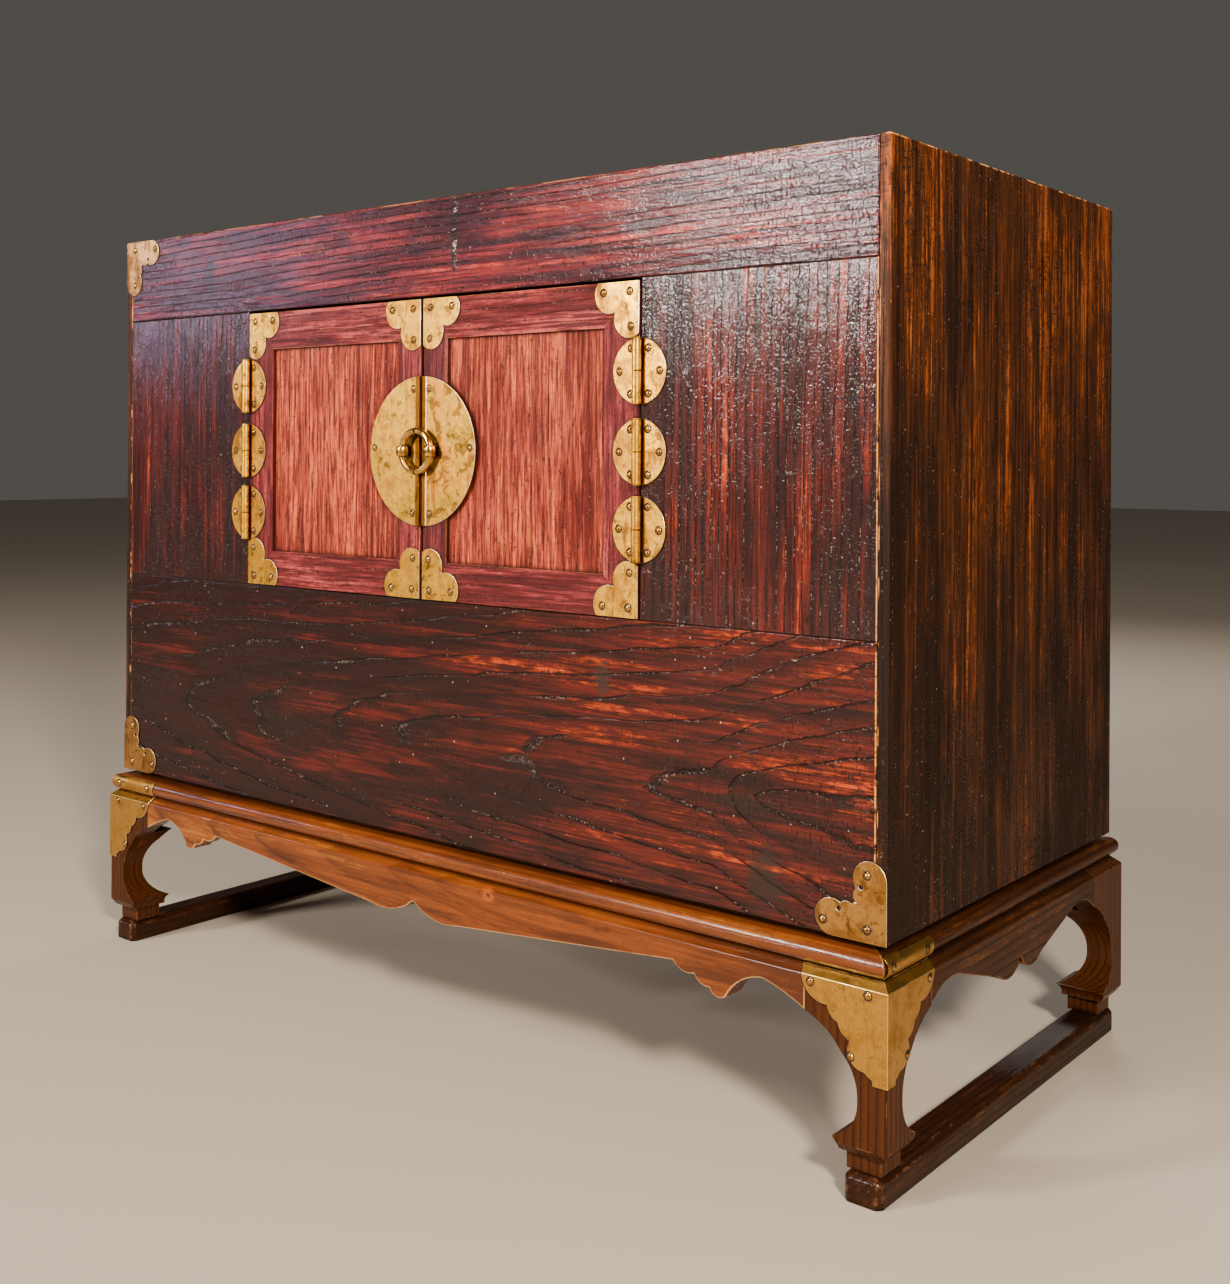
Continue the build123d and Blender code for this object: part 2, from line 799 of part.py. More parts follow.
# Lock plate: half a disc with a raised band along the seam
lock_places = [Pos(x, plate_y, lock_z + rise) for x, rise in lock_nails]

# The wire bends inside the eye, so the eye is wider than the wire by that bend.
wire_inner = sqrt((ring_radius - ring_wire) ** 2 - (eye_band / 2) ** 2)
wire_outer = ring_radius + ring_wire
eye_x = (wire_inner + wire_outer) / 2
eye_bore = (wire_outer - wire_inner) / 2 + eye_play
eye_y = face_y - ring_offset
eye_z = (lock_z - eye_band / 2, lock_z + eye_band / 2)
shank_x = (eye_x - eye_shank / 2, eye_x + eye_shank / 2)
shank = block(shank_x, (eye_y, door_back_y), eye_z)


def staple():
    """A strap bent round the wire, through plate and stile, its two ends clinched behind."""
    eye = forged_rod(eye_x, eye_y, eye_z, eye_bore + eye_wall, across_flats=True)
    ends_x = (eye_x - clinch_length, eye_x + clinch_length)
    clinched = block(ends_x, (door_back_y, door_back_y + clinch_thick), eye_z)
    return eye + shank + clinched - forged_rod(eye_x, eye_y, eye_z, eye_bore, across_flats=True)


def lock_plate():
    disc = Pos(0, lock_z) * Circle(lock_radius)
    right_part = Pos(door_near, lock_z) * Rectangle(
        lock_radius, 2 * lock_radius, align=(Align.MIN, Align.CENTER)
    )
    band_part = Pos(door_near, lock_z) * Rectangle(
        lock_band, 2 * lock_radius, align=(Align.MIN, Align.CENTER)
    )
    plate = front_cut(disc & right_part, plate_y, face_y)
    band = front_cut(disc & band_part, plate_y - lock_band_height, plate_y)
    return plate + band - shank


def half_ring():
    """Half of the ring, hammered in short flats, from just off the seam round to the seam."""
    step = pi / ring_flats
    corner_radius = ring_radius / cos(step / 2)
    turns = [step * (i - ring_flats / 2) for i in range(-1, ring_flats + 2)]
    knots = [Vector(corner_radius * cos(a), 0, corner_radius * sin(a)) for a in turns]
    path = Polyline(*[knot + Vector(0, eye_y, lock_z) for knot in knots])
    start = Plane(path @ 0, z_dir=path % 0)
    wire = sweep(start * RegularPolygon(ring_wire, ring_sides), path, transition=Transition.RIGHT)
    reach = ring_radius + 2 * ring_wire
    return wire & block(
        (ring_gap / 2, reach), (eye_y - reach, eye_y + reach), (lock_z - reach, lock_z + reach)
    )


door_leaf_places = hinge_places(-1)
door_leaves = [hinge_leaf(z, -1) for z in hinge_levels]
door_places = door_leaf_places + plate_points + lock_places
members = ("bottom_rail", "hinge_stile", "top_rail", "meeting_stile")
door_pieces = {name: [frame_member(i) - shank] for i, name in enumerate(members)}
door_pieces["panel"] = [panel]
door_pieces["hinge_leaves"] = door_leaves
door_pieces["corner_plates"] = door_plates
door_pieces["lock_plate"] = [lock_plate()]
door_pieces["staple"] = [staple()]
door_pieces["nails"] = driven(door_places)
door_pieces["ring_half"] = [half_ring()]
for side, label in ((-1, "left"), (1, "right")):
    for name, pieces in door_pieces.items():
        save(f"{label}_{name}", *[about_seam(piece, side) for piece in pieces])
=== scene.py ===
import json
import math
import random

import bmesh
import bpy
from mathutils import Matrix, Vector

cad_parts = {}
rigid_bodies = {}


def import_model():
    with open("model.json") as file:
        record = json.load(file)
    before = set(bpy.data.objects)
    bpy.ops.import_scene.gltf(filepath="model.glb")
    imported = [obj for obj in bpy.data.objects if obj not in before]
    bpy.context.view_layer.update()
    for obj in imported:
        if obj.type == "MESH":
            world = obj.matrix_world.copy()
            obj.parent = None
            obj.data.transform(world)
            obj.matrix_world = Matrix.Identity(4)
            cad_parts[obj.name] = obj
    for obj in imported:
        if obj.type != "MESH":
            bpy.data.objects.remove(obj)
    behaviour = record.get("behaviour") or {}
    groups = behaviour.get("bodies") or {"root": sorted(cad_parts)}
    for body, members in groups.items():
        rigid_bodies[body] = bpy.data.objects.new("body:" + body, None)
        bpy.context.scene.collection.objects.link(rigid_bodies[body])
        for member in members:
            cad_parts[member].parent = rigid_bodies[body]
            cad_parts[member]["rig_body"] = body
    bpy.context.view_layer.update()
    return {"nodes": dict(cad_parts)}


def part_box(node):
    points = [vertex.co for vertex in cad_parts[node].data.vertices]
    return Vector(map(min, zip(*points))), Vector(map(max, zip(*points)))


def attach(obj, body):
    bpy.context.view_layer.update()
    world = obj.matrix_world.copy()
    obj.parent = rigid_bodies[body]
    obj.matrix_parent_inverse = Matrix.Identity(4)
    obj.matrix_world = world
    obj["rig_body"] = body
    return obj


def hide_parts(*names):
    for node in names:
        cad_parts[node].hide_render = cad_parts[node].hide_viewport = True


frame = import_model()
nodes = frame["nodes"]
print("frame loaded:", len(nodes), "nodes")

# camera

cameraSettings = {
    "place": (0.9426, -1.1048, 0.5074),
    "tilt": 90.11,
    "roll": 0.326,
    "turn": 38.972,
    "sensor": 36,
    "focalPixels": 1498.6,
    "imageHeight": 1284,
    "centreHeight": 452.7,
    "farEnd": 50,
}


def placeCamera(s):
    data = bpy.data.cameras.new("camera")
    camera = bpy.data.objects.new("camera", data)
    bpy.context.scene.collection.objects.link(camera)
    data.sensor_width = s["sensor"]
    data.lens = s["sensor"] * s["focalPixels"] / s["imageHeight"]
    data.shift_y = (s["centreHeight"] - s["imageHeight"] / 2) / s["imageHeight"]
    data.clip_end = s["farEnd"]
    turn = Matrix.Rotation(math.radians(s["turn"]), 4, "Z")
    tilt = Matrix.Rotation(math.radians(s["tilt"]), 4, "X")
    roll = Matrix.Rotation(math.radians(s["roll"]), 4, "Z")
    camera.matrix_world = Matrix.Translation(s["place"]) @ turn @ tilt @ roll
    bpy.context.scene.camera = camera


placeCamera(cameraSettings)

# floor and lights

studio = {
    "floorSize": 14,
    "floorColor": (0.52, 0.44, 0.35, 1),
    "floorRoughness": 0.7,
    "worldColor": (0.66, 0.62, 0.56, 1),
    "worldStrength": 0.13,
    "lights": [
        # name, place, aim, width, height, power, colour
        ("keyLamp", (1.9, -1.43, 1.36), (0.1, -0.2, 0.3), 0.26, 0.26, 98, (1.0, 0.90, 0.76)),
        ("frontLeftBox", (-1.3, -3.0, 1.32), (0.38, -0.2, 0.68), 0.38, 0.38, 108, (1.0, 0.93, 0.87)),
        ("farLeftBox", (-2.9, -2.0, 1.05), (-0.35, -0.2, 0.67), 0.4, 0.3, 12, (0.72, 0.68, 1.0)),
        ("topBox", (-0.2, -2.4, 2.6), (0.0, -0.2, 0.3), 1.0, 0.8, 50, (1.0, 0.92, 0.82)),
        ("backBox", (-0.6, 2.6, 1.9), (0.0, 0.2, 0.4), 1.0, 0.8, 26, (1.0, 0.95, 0.9)),
    ],
}


def layFloor(s):
    bm = bmesh.new()
    bmesh.ops.create_grid(bm, x_segments=1, y_segments=1, size=s["floorSize"])
    mesh = bpy.data.meshes.new("floor")
    bm.to_mesh(mesh)
    bm.free()
    floor = bpy.data.objects.new("floor", mesh)
    bpy.context.scene.collection.objects.link(floor)
    paint = bpy.data.materials.new("floorPaint")
    paint.use_nodes = True
    shader = paint.node_tree.nodes["Principled BSDF"]
    shader.inputs["Base Color"].default_value = s["floorColor"]
    shader.inputs["Roughness"].default_value = s["floorRoughness"]
    mesh.materials.append(paint)


def lightRoom(s):
    world = bpy.data.worlds.new("room")
    bpy.context.scene.world = world
    world.use_nodes = True
    background = world.node_tree.nodes["Background"]
    background.inputs["Color"].default_value = s["worldColor"]
    background.inputs["Strength"].default_value = s["worldStrength"]
    for name, place, aim, width, height, power, color in s["lights"]:
        light = bpy.data.lights.new(name, "AREA")
        light.shape = "RECTANGLE"
        light.size = width
        light.size_y = height
        light.energy = power
        light.color = color
        lamp = bpy.data.objects.new(name, light)
        bpy.context.scene.collection.objects.link(lamp)
        turn = (Vector(aim) - Vector(place)).to_track_quat("-Z", "Y").to_matrix().to_4x4()
        lamp.matrix_world = Matrix.Translation(place) @ turn


layFloor(studio)
lightRoom(studio)
print("camera, floor and lights placed")

# materials


class Graph:
    def __init__(self, name):
        self.material = bpy.data.materials.new(name)
        self.material.use_nodes = True
        self.tree = self.material.node_tree
        self.shader = self.tree.nodes["Principled BSDF"]

    def add(self, kind, settings=None, **links):
        # a link's name is its socket's own, or i and the socket's number
        node = self.tree.nodes.new(kind)
        for key, value in (settings or {}).items():
            setattr(node, key, value)
        for key, value in links.items():
            self.feed(node.inputs[int(key[1:]) if key[1:].isdigit() else key], value)
        return node

    def feed(self, socket, value):
        if isinstance(value, bpy.types.NodeSocket):
            self.tree.links.new(value, socket)
        elif isinstance(value, bpy.types.Node):
            self.tree.links.new(value.outputs[0], socket)
        else:
            socket.default_value = value

    def math(self, operation, a, b=0.0):
        return self.add("ShaderNodeMath", {"operation": operation}, i0=a, i1=b)

    def swing(self, value, amount, middle=0.5):
        # a value's distance from its middle, made larger or smaller
        return self.math("MULTIPLY", self.math("SUBTRACT", value, middle), amount)

    def mix(self, factor, a, b):
        return self.add("ShaderNodeMix", {"data_type": "RGBA"}, i0=factor, i6=a, i7=b).outputs[2]

    def band(self, value, limits, toLow=0.0, toHigh=1.0):
        # a soft step between two limits
        node = self.add("ShaderNodeMapRange", {"interpolation_type": "SMOOTHSTEP"}, Value=value)
        for name, given in zip(("From Min", "From Max", "To Min", "To Max"), (*limits, toLow, toHigh)):
            self.feed(node.inputs[name], given)
        return node.outputs[0]

    def onset(self, value, start, width):
        return self.band(value, (start, start + width))

    def mapped(self, vector, scale=(1, 1, 1), rotation=(0, 0, 0), location=(0, 0, 0)):
        return self.add(
            "ShaderNodeMapping", Vector=vector, Scale=scale, Rotation=rotation, Location=location,
        )

    def noise(self, vector, scale, detail, roughness=0.5, distortion=0.0):
        node = self.add(
            "ShaderNodeTexNoise", Vector=vector, Scale=scale, Detail=detail,
            Roughness=roughness, Distortion=distortion,
        )
        return node.outputs["Fac"]

    def bump(self, height, strength=1.0):
        return self.add("ShaderNodeBump", Strength=strength, Distance=1.0, Height=height)

    def corners(self, reach):
        # ambient occlusion, used to paint shade into corners and gaps
        return self.add("ShaderNodeAmbientOcclusion", {"samples": 6}, Distance=reach).outputs["AO"]

    def wornEdges(self):
        return self.add("ShaderNodeAttribute", {"attribute_name": "rubbed"}).outputs["Fac"]


# lacquered wood

grainTurns = {"X": (0, 0, 0), "Y": (0, 0, math.radians(-90)), "Z": (0, math.radians(90), 0)}
woodClouds = {
    # scale along the grain, scale across it, start, detail, roughness
    "bend": (1.7, 6, (0, 0, 0), 1, 0.5),
    "wander": (9, 40, (0, 0, 0), 3, 0.5),
    "shown": (3.5, 30, (7, 2, 5), 3, 0.5),
    "serrated": (600, 600, (0, 0, 0), 2, 0.5),
    "fibre": (11, 420, (0, 0, 0), 3, 0.7),
    "streaks": (4, 90, (0, 0, 0), 6, 0.7),
    "patches": (5, 16, (3.1, 1.7, 0.4), 7, 0.68),
    "flecks": (60, 210, (0, 0, 0), 4, 0.7),
    "ticks": (520, 150, (0, 0, 0), 2, 0.6),
    "crazed": (9, 14, (2, 9, 4), 3, 0.5),
    "veins": (3, 130, (5, 8, 2), 5, 0.65),
    "nibble": (30, 90, (0, 0, 0), 5, 0.7),
    "swell": (9, 30, (0, 0, 0), 2, 0.5),
}
woodLimits = {
    # where a pattern begins and where it is full
    "grooveEnd": (0.95, 0.99),
    "lateWood": (0.35, 0.95),
    "crazed": (0.42, 0.60),
    "tick": (0.56, 0.66),
    "veins": (0.50, 0.59),
    "fibre": (0.44, 0.60),
    "pores": (0.58, 0.68),
    "waxAndGlintGrain": (0.55, 0.62),
    "waxAndGlintPatch": (0.44, 0.56),
    "dot": (0.03, 0.08),
    "broken": (0.50, 0.56),
    "mark": (0.6, 1.1),
    "soot": (0.62, 0.94),
    "gloss": (0.35, 0.65),
}
woodWidths = {"shown": 0.12, "groove": 0.05, "red": 0.09, "glow": 0.08, "rub": 0.1}
woodShares = {
    # how much one pattern adds to another
    "streaks": 0.5,
    "patches": 0.5,
    "fallLevel": 0.45,
    "glowFlecks": 0.35,
    "waxAndGlintTicks": 0.4,
    "markPatches": 0.5,
    "markFlecks": 0.5,
    "raggedMarks": 4.2,
    "raggedSootAndShade": 0.3,
    "dullGroove": 0.3,
    "coatBump": 0.8,
}


def ringDistance(g, world, board, s):
    if not s["heart"]:
        axes = g.add("ShaderNodeSeparateXYZ", Vector=board)
        across = g.math("ADD", axes.outputs["Y"], axes.outputs["Z"])
        return g.math("ADD", across, g.math("MULTIPLY", axes.outputs["X"], s["slope"]))
    # nested tongues of a flat-sawn board, long to the left of the heart and short to the right
    heart = s["heart"]
    along = g.math("SUBTRACT", world.outputs["X"], heart["x"])
    left = g.math("SUBTRACT", g.math("DIVIDE", along, heart["far"]), heart["shift"])
    along = g.math("MAXIMUM", g.math("DIVIDE", along, heart["near"]), left)
    rise = g.math("SUBTRACT", world.outputs["Z"], heart["z"])
    reach = g.math("ADD", g.math("MULTIPLY", along, along), g.math("MULTIPLY", rise, rise))
    return g.math("SUBTRACT", g.math("SQRT", reach), along)


def woodPatterns(g, world, board, s):
    shortened = {name: s["run"] for name in ("fibre", "streaks", "flecks", "veins")}
    narrowed = {"streaks": s["fine"]}
    p = {}
    for name, (along, across, start, detail, roughness) in woodClouds.items():
        # a higher scale makes a shorter, narrower pattern
        along *= shortened.get(name, 1)
        across *= narrowed.get(name, 1)
        grained = g.mapped(board, (along, across, across), location=start)
        p[name] = g.noise(grained, 1.0, detail, roughness)
    rings = g.math("DIVIDE", ringDistance(g, world, board, s), s["ringGap"])
    rings = g.math("ADD", rings, g.math("MULTIPLY", p["bend"], s["figure"]))
    p["rings"] = g.math("FRACT", g.math("ADD", rings, g.math("MULTIPLY", p["wander"], s["wander"])))
    p["lateWood"] = g.band(p["rings"], woodLimits["lateWood"])
    edge = g.math("ADD", p["rings"], g.swing(p["serrated"], s["serration"]))
    start = g.onset(edge, s["grooveFrom"], woodWidths["groove"])
    groove = g.math("MULTIPLY", start, g.band(edge, woodLimits["grooveEnd"], 1.0, 0.0))
    shown = g.onset(p["shown"], s["shownFrom"], woodWidths["shown"])
    p["groove"] = g.math("MULTIPLY", groove, shown)
    crazed = g.band(p["crazed"], woodLimits["crazed"])
    p["tick"] = g.math("MULTIPLY", g.band(p["ticks"], woodLimits["tick"]), crazed)
    return p


def stain(g, world, p, s):
    tone = g.math("MULTIPLY", p["streaks"], woodShares["streaks"])
    tone = g.math("ADD", tone, g.math("MULTIPLY", p["patches"], woodShares["patches"]))
    tone = g.math("ADD", tone, g.math("MULTIPLY", world.outputs["X"], s["drift"]))
    tone = g.math("ADD", tone, g.swing(world.outputs["Z"], s["fall"], woodShares["fallLevel"]))
    color = g.mix(g.onset(tone, s["redFrom"], woodWidths["red"]), s["dark"], s["red"])
    glow = g.math("ADD", tone, g.swing(p["flecks"], woodShares["glowFlecks"]))
    color = g.mix(g.onset(glow, s["glowFrom"], woodWidths["glow"]), color, s["glow"])
    for cloud, layer, paint in (
        ("veins", "veins", "line"),
        ("fibre", "fibre", "dark"),
        ("flecks", "pores", "line"),
    ):
        color = g.mix(g.band(p[cloud], woodLimits[layer], 0.0, s[layer]), color, s[paint])
    for pattern, layer in (("lateWood", "lateWood"), ("tick", "ticks"), ("groove", "groove")):
        color = g.mix(g.math("MULTIPLY", p[pattern], s[layer]), color, s["line"])
    return color


def wax(g, board, p, s, color):
    # old wax lies in the grooves, and in dots here and there; the pale flecks also stand for painted
    # glints of light
    lines = g.math("MAXIMUM", p["groove"], g.math("MULTIPLY", p["tick"], woodShares["waxAndGlintTicks"]))
    lines = g.math("MULTIPLY", g.band(p["serrated"], woodLimits["waxAndGlintGrain"]), lines)
    lines = g.math("MULTIPLY", lines, g.band(p["nibble"], woodLimits["waxAndGlintPatch"]))
    color = g.mix(g.math("MULTIPLY", lines, s["wax"]), color, s["waxAndGlintColor"])
    cells = g.add("ShaderNodeTexVoronoi", Vector=board, Scale=s["dotScale"])
    strength = g.add("ShaderNodeSeparateColor", Color=cells.outputs["Color"]).outputs["Red"]
    dot = g.math("MULTIPLY", g.band(cells.outputs["Distance"], woodLimits["dot"], 1.0, 0.0), strength)
    return g.mix(g.math("MULTIPLY", dot, s["dots"]), color, s["waxAndGlintColor"])


def marks(g, place, p, s, color):
    # stains, knots and scars, each with a ragged edge
    ragged = g.math("MULTIPLY", p["patches"], woodShares["markPatches"])
    ragged = g.math("ADD", ragged, g.math("MULTIPLY", p["flecks"], woodShares["markFlecks"]))
    ragged = g.swing(ragged, woodShares["raggedMarks"])
    broken = g.band(p["serrated"], woodLimits["broken"])
    broken = g.math("MULTIPLY", broken, g.band(p["nibble"], woodLimits["broken"]))
    for x, z, wide, high, markColor, strength, flecked in s["marks"]:
        centred = g.mapped(place, (1 / wide, 0, 1 / high), location=(-x / wide, 0, -z / high))
        spread = g.add("ShaderNodeVectorMath", {"operation": "LENGTH"}, i0=centred).outputs["Value"]
        shown = g.band(g.math("ADD", spread, ragged), woodLimits["mark"], strength, 0.0)
        color = g.mix(g.math("MULTIPLY", shown, broken) if flecked else shown, color, markColor)
    return color


def relief(g, p, s):
    height = g.math("MULTIPLY", p["swell"], s["swell"])
    for operation, pattern, depth in (
        ("SUBTRACT", "groove", "grooveDepth"),
        ("ADD", "rings", "ridge"),
        ("ADD", "fibre", "fibreDepth"),
        ("ADD", "serrated", "grit"),
        ("SUBTRACT", "tick", "tickDepth"),
        ("ADD", "patches", "dents"),
    ):
        height = g.math(operation, height, g.math("MULTIPLY", p[pattern], s[depth]))
    return height


def lacqueredWood(name, s):
    g = Graph(name)
    place = g.add("ShaderNodeTexCoord").outputs["Object"]
    world = g.add("ShaderNodeSeparateXYZ", Vector=place)
    # world is the whole chest's place, and board is turned so that the grain runs along X
    board = g.mapped(place, rotation=grainTurns[s["grain"]], location=s["offset"])
    p = woodPatterns(g, world, board, s)
    color = stain(g, world, p, s)
    color = wax(g, board, p, s, color)
    if s["marks"]:
        color = marks(g, place, p, s, color)
    worn = g.math("MULTIPLY", g.wornEdges(), g.onset(p["nibble"], s["rubFrom"], woodWidths["rub"]))
    color = g.mix(g.math("MULTIPLY", worn, s["rub"]), color, s["rubbed"])
    # painted shade, with some soot: the colour darkens towards the line colour where ambient occlusion
    # finds corners, gaps and the edges of plates
    corner = g.math("ADD", g.corners(s["sootReach"]), g.swing(p["streaks"], woodShares["raggedSootAndShade"]))
    color = g.mix(g.band(corner, woodLimits["soot"], s["soot"], 0.0), color, s["line"])
    g.feed(g.shader.inputs["Base Color"], color)

    shiny, dull = s["gloss"]
    gloss = g.band(p["patches"], woodLimits["gloss"], dull, shiny)
    gloss = g.math("ADD", gloss, g.math("MULTIPLY", p["groove"], woodShares["dullGroove"]))
    g.feed(g.shader.inputs["Roughness"], gloss)
    g.shader.inputs["Specular IOR Level"].default_value = s["shine"]
    g.shader.inputs["Coat Weight"].default_value = s["coat"]
    g.shader.inputs["Coat Roughness"].default_value = s["coatRoughness"]
    height = relief(g, p, s)
    g.feed(g.shader.inputs["Normal"], g.bump(height))
    if s["coat"] > 0:
        g.feed(g.shader.inputs["Coat Normal"], g.bump(height, woodShares["coatBump"]))
    return g.material


baseWood = {
    "grain": "X",
    "offset": (0, 0, 0),
    "heart": None,
    "run": 1.0,
    "fine": 1.0,
    "slope": 0.0,
    "ringGap": 0.009,
    "figure": 4.0,
    "wander": 0.9,
    "shownFrom": 0.40,
    "serration": 0.14,
    "grooveFrom": 0.84,
    "drift": 0.0,
    "fall": 0.0,
    "dark": (0.026, 0.007, 0.004, 1),
    "red": (0.125, 0.016, 0.009, 1),
    "glow": (0.40, 0.062, 0.010, 1),
    "line": (0.007, 0.003, 0.002, 1),
    "rubbed": (0.85, 0.34, 0.09, 1),
    "waxAndGlintColor": (0.50, 0.34, 0.26, 1),
    "redFrom": 0.45,
    "glowFrom": 0.56,
    "fibre": 0.8,
    "veins": 0.6,
    "lateWood": 0.35,
    "pores": 0.85,
    "ticks": 0.75,
    "groove": 0.95,
    "wax": 0.45,
    "dots": 0.7,
    "dotScale": 110,
    "marks": [],  # x, z, half width, half height, colour, strength, flecked or whole
    "rubFrom": 0.42,
    "rub": 0.9,
    "soot": 0.85,
    "sootReach": 0.005,
    "gloss": (0.30, 0.50),
    "shine": 0.10,
    "coat": 0.60,
    "coatRoughness": 0.06,
    "swell": 0.0006,
    "grooveDepth": 0.0007,
    "ridge": 0.0003,
    "fibreDepth": 0.00022,
    "grit": 0.00016,
    "tickDepth": 0.0004,
    "dents": 0.0020,
}


def woodLike(name, **changes):
    return lacqueredWood(name, {**baseWood, **changes})


stainColor = (0.012, 0.007, 0.007, 1)
paleScar = (0.75, 0.55, 0.42, 1)
frontTopWood = woodLike(
    "frontTopWood", offset=(0.3, 0.1, 0.21), ringGap=0.0072, figure=3.6, slope=-0.02, wander=1.0,
    dark=(0.036, 0.004, 0.008, 1), red=(0.215, 0.016, 0.018, 1), glow=(0.54, 0.054, 0.030, 1),
    redFrom=0.450, glowFrom=0.545, coat=0.5, fibreDepth=0.00034, grit=0.00026, dents=0.0027,
    dots=0.9, dotScale=90, rub=0.4, rubFrom=0.5,
    marks=[
        (0.0335, 0.688, 0.0032, 0.036, stainColor, 0.95, False),
        (0.0345, 0.690, 0.0026, 0.030, paleScar, 0.75, True),
        (-0.308, 0.690, 0.009, 0.018, stainColor, 0.8, False),
        (-0.12, 0.70, 0.03, 0.010, stainColor, 0.6, False),
    ],
)
frontBottomWood = woodLike(
    "frontBottomWood", offset=(1.3, 0.4, 0.05), ringGap=0.0165, figure=2.4, wander=1.0, grooveFrom=0.88,
    heart={"x": 0.345, "z": 0.262, "near": 2.6, "far": 14, "shift": 0.0125},
    dark=(0.018, 0.0038, 0.0022, 1), red=(0.092, 0.0098, 0.0048, 1), glow=(0.50, 0.056, 0.006, 1),
    redFrom=0.476, glowFrom=0.592, drift=0.14, fall=-0.03, lateWood=0.5, veins=0.4, wax=0.42,
    dots=1.0, dotScale=80, coat=0.40, shine=0.07,
    grooveDepth=0.001, fibreDepth=0.00034, grit=0.00026, dents=0.0026,
    marks=[
        (0.352, 0.205, 0.020, 0.022, (0.020, 0.012, 0.008, 1), 0.8, False),
        (0.200, 0.332, 0.012, 0.024, (0.030, 0.018, 0.014, 1), 0.75, False),
        (0.330, 0.256, 0.030, 0.006, (0.016, 0.008, 0.005, 1), 0.8, False),
    ],
)
flankWood = woodLike(
    "flankWood", grain="Z", offset=(0.6, 0.2, 0.33), ringGap=0.0075, figure=2.5, slope=0.03,
    groove=1.0, shownFrom=0.38, fall=0.10, sootReach=0.008, dots=0.9, dotScale=90,
    dark=(0.020, 0.0040, 0.0026, 1), red=(0.108, 0.0108, 0.0066, 1), glow=(0.44, 0.056, 0.010, 1),
    redFrom=0.47, glowFrom=0.575, fibreDepth=0.0003, dents=0.0026, grit=0.00022,
    marks=[
        (0.418, 0.5505, 0.011, 0.0022, paleScar, 0.7, True),
        (0.433, 0.5560, 0.008, 0.0022, paleScar, 0.7, True),
        (0.420, 0.5480, 0.014, 0.0016, stainColor, 0.9, False),
        (-0.40, 0.62, 0.028, 0.030, (0.04, 0.012, 0.02, 1), 0.8, False),
    ],
)
sideWood = woodLike(
    "sideWood", grain="Z", offset=(0.1, 0.9, 0.7), ringGap=0.0065, figure=3.0, wander=1.2,
    dark=(0.017, 0.0055, 0.002, 1), red=(0.078, 0.021, 0.005, 1), glow=(0.33, 0.075, 0.011, 1),
    line=(0.005, 0.002, 0.001, 1), redFrom=0.447, glowFrom=0.552, fall=0.15, coat=0.0, shine=0.14,
    grooveDepth=0.0003, groove=0.7, rubFrom=0.5, wax=0.25, gloss=(0.4, 0.6),
)
topWood = woodLike("topWood", offset=(0.7, 0.3, 0.1), ringGap=0.014, rub=0.4, rubFrom=0.5)

doorColors = {
    "dark": (0.105, 0.011, 0.007, 1),
    "red": (0.480, 0.068, 0.032, 1),
    "glow": (0.74, 0.130, 0.046, 1),
    "line": (0.026, 0.005, 0.004, 1),
    "redFrom": 0.41,
    "glowFrom": 0.50,
    "run": 2.4,
    "fine": 2.2,
    "fibre": 0.95,
    "veins": 0.5,
    "lateWood": 0.3,
    "ticks": 0.3,
    "tickDepth": 0.0001,
    "groove": 0.5,
    "grooveDepth": 0.0002,
    "ridge": 0.0001,
    "swell": 0.0003,
    "dents": 0.0009,
    "wax": 0.3,
    "dots": 0.2,
    "sootReach": 0.014,
    "rub": 0.0,
    "gloss": (0.40, 0.6),
    "coat": 0.15,
}
railColors = {
    **doorColors,
    "dark": (0.080, 0.010, 0.010, 1),
    "red": (0.260, 0.030, 0.032, 1),
    "glow": (0.44, 0.072, 0.062, 1),
    "rub": 0.3,
}
darkStileColors = {
    **railColors,
    "dark": (0.060, 0.010, 0.012, 1),
    "red": (0.150, 0.022, 0.024, 1),
    "glow": (0.28, 0.050, 0.045, 1),
}
doorPanelWood = woodLike(
    "doorPanelWood", grain="Z", offset=(0.4, 0.6, 0.2), ringGap=0.007, figure=3.0, fall=0.2,
    **doorColors,
)
doorStileWood = woodLike(
    "doorStileWood", grain="Z", offset=(0.9, 0.1, 0.5), ringGap=0.007, figure=1.5, **railColors,
)
rightStileWood = woodLike(
    "rightStileWood", grain="Z", offset=(0.7, 0.3, 0.5), ringGap=0.007, figure=1.5, **darkStileColors,
)
doorRailWood = woodLike(
    "doorRailWood", offset=(0.2, 0.8, 0.6), ringGap=0.008, figure=1.5, fall=0.25,
    **{**railColors, "redFrom": 0.43},
)

standColors = {
    "dark": (0.088, 0.019, 0.003, 1),
    "red": (0.205, 0.046, 0.005, 1),
    "glow": (0.350, 0.100, 0.010, 1),
    "line": (0.034, 0.009, 0.002, 1),
    "rubbed": (0.85, 0.45, 0.16, 1),
    "redFrom": 0.41,
    "glowFrom": 0.54,
    "fibre": 0.4,
    "veins": 0.25,
    "pores": 0.4,
    "ticks": 0.2,
    "tickDepth": 0.00005,
    "groove": 0.5,
    "grooveDepth": 0.0001,
    "ridge": 0.00005,
    "swell": 0.0003,
    "dents": 0.0006,
    "grit": 0.00005,
    "wax": 0.0,
    "dots": 0.15,
    "rubFrom": 0.34,
    "rub": 0.5,
    "gloss": (0.2, 0.36),
    "coat": 0.4,
    "coatRoughness": 0.12,
}
# the stand's colours darkened for the faces turned to the side: painted shade
shadeColors = {
    **standColors,
    "dark": (0.017, 0.005, 0.0015, 1),
    "red": (0.044, 0.013, 0.003, 1),
    "glow": (0.100, 0.030, 0.006, 1),
    "line": (0.008, 0.003, 0.001, 1),
    "rubbed": (0.26, 0.10, 0.025, 1),
    "coat": 0.12,
    "shine": 0.05,
}
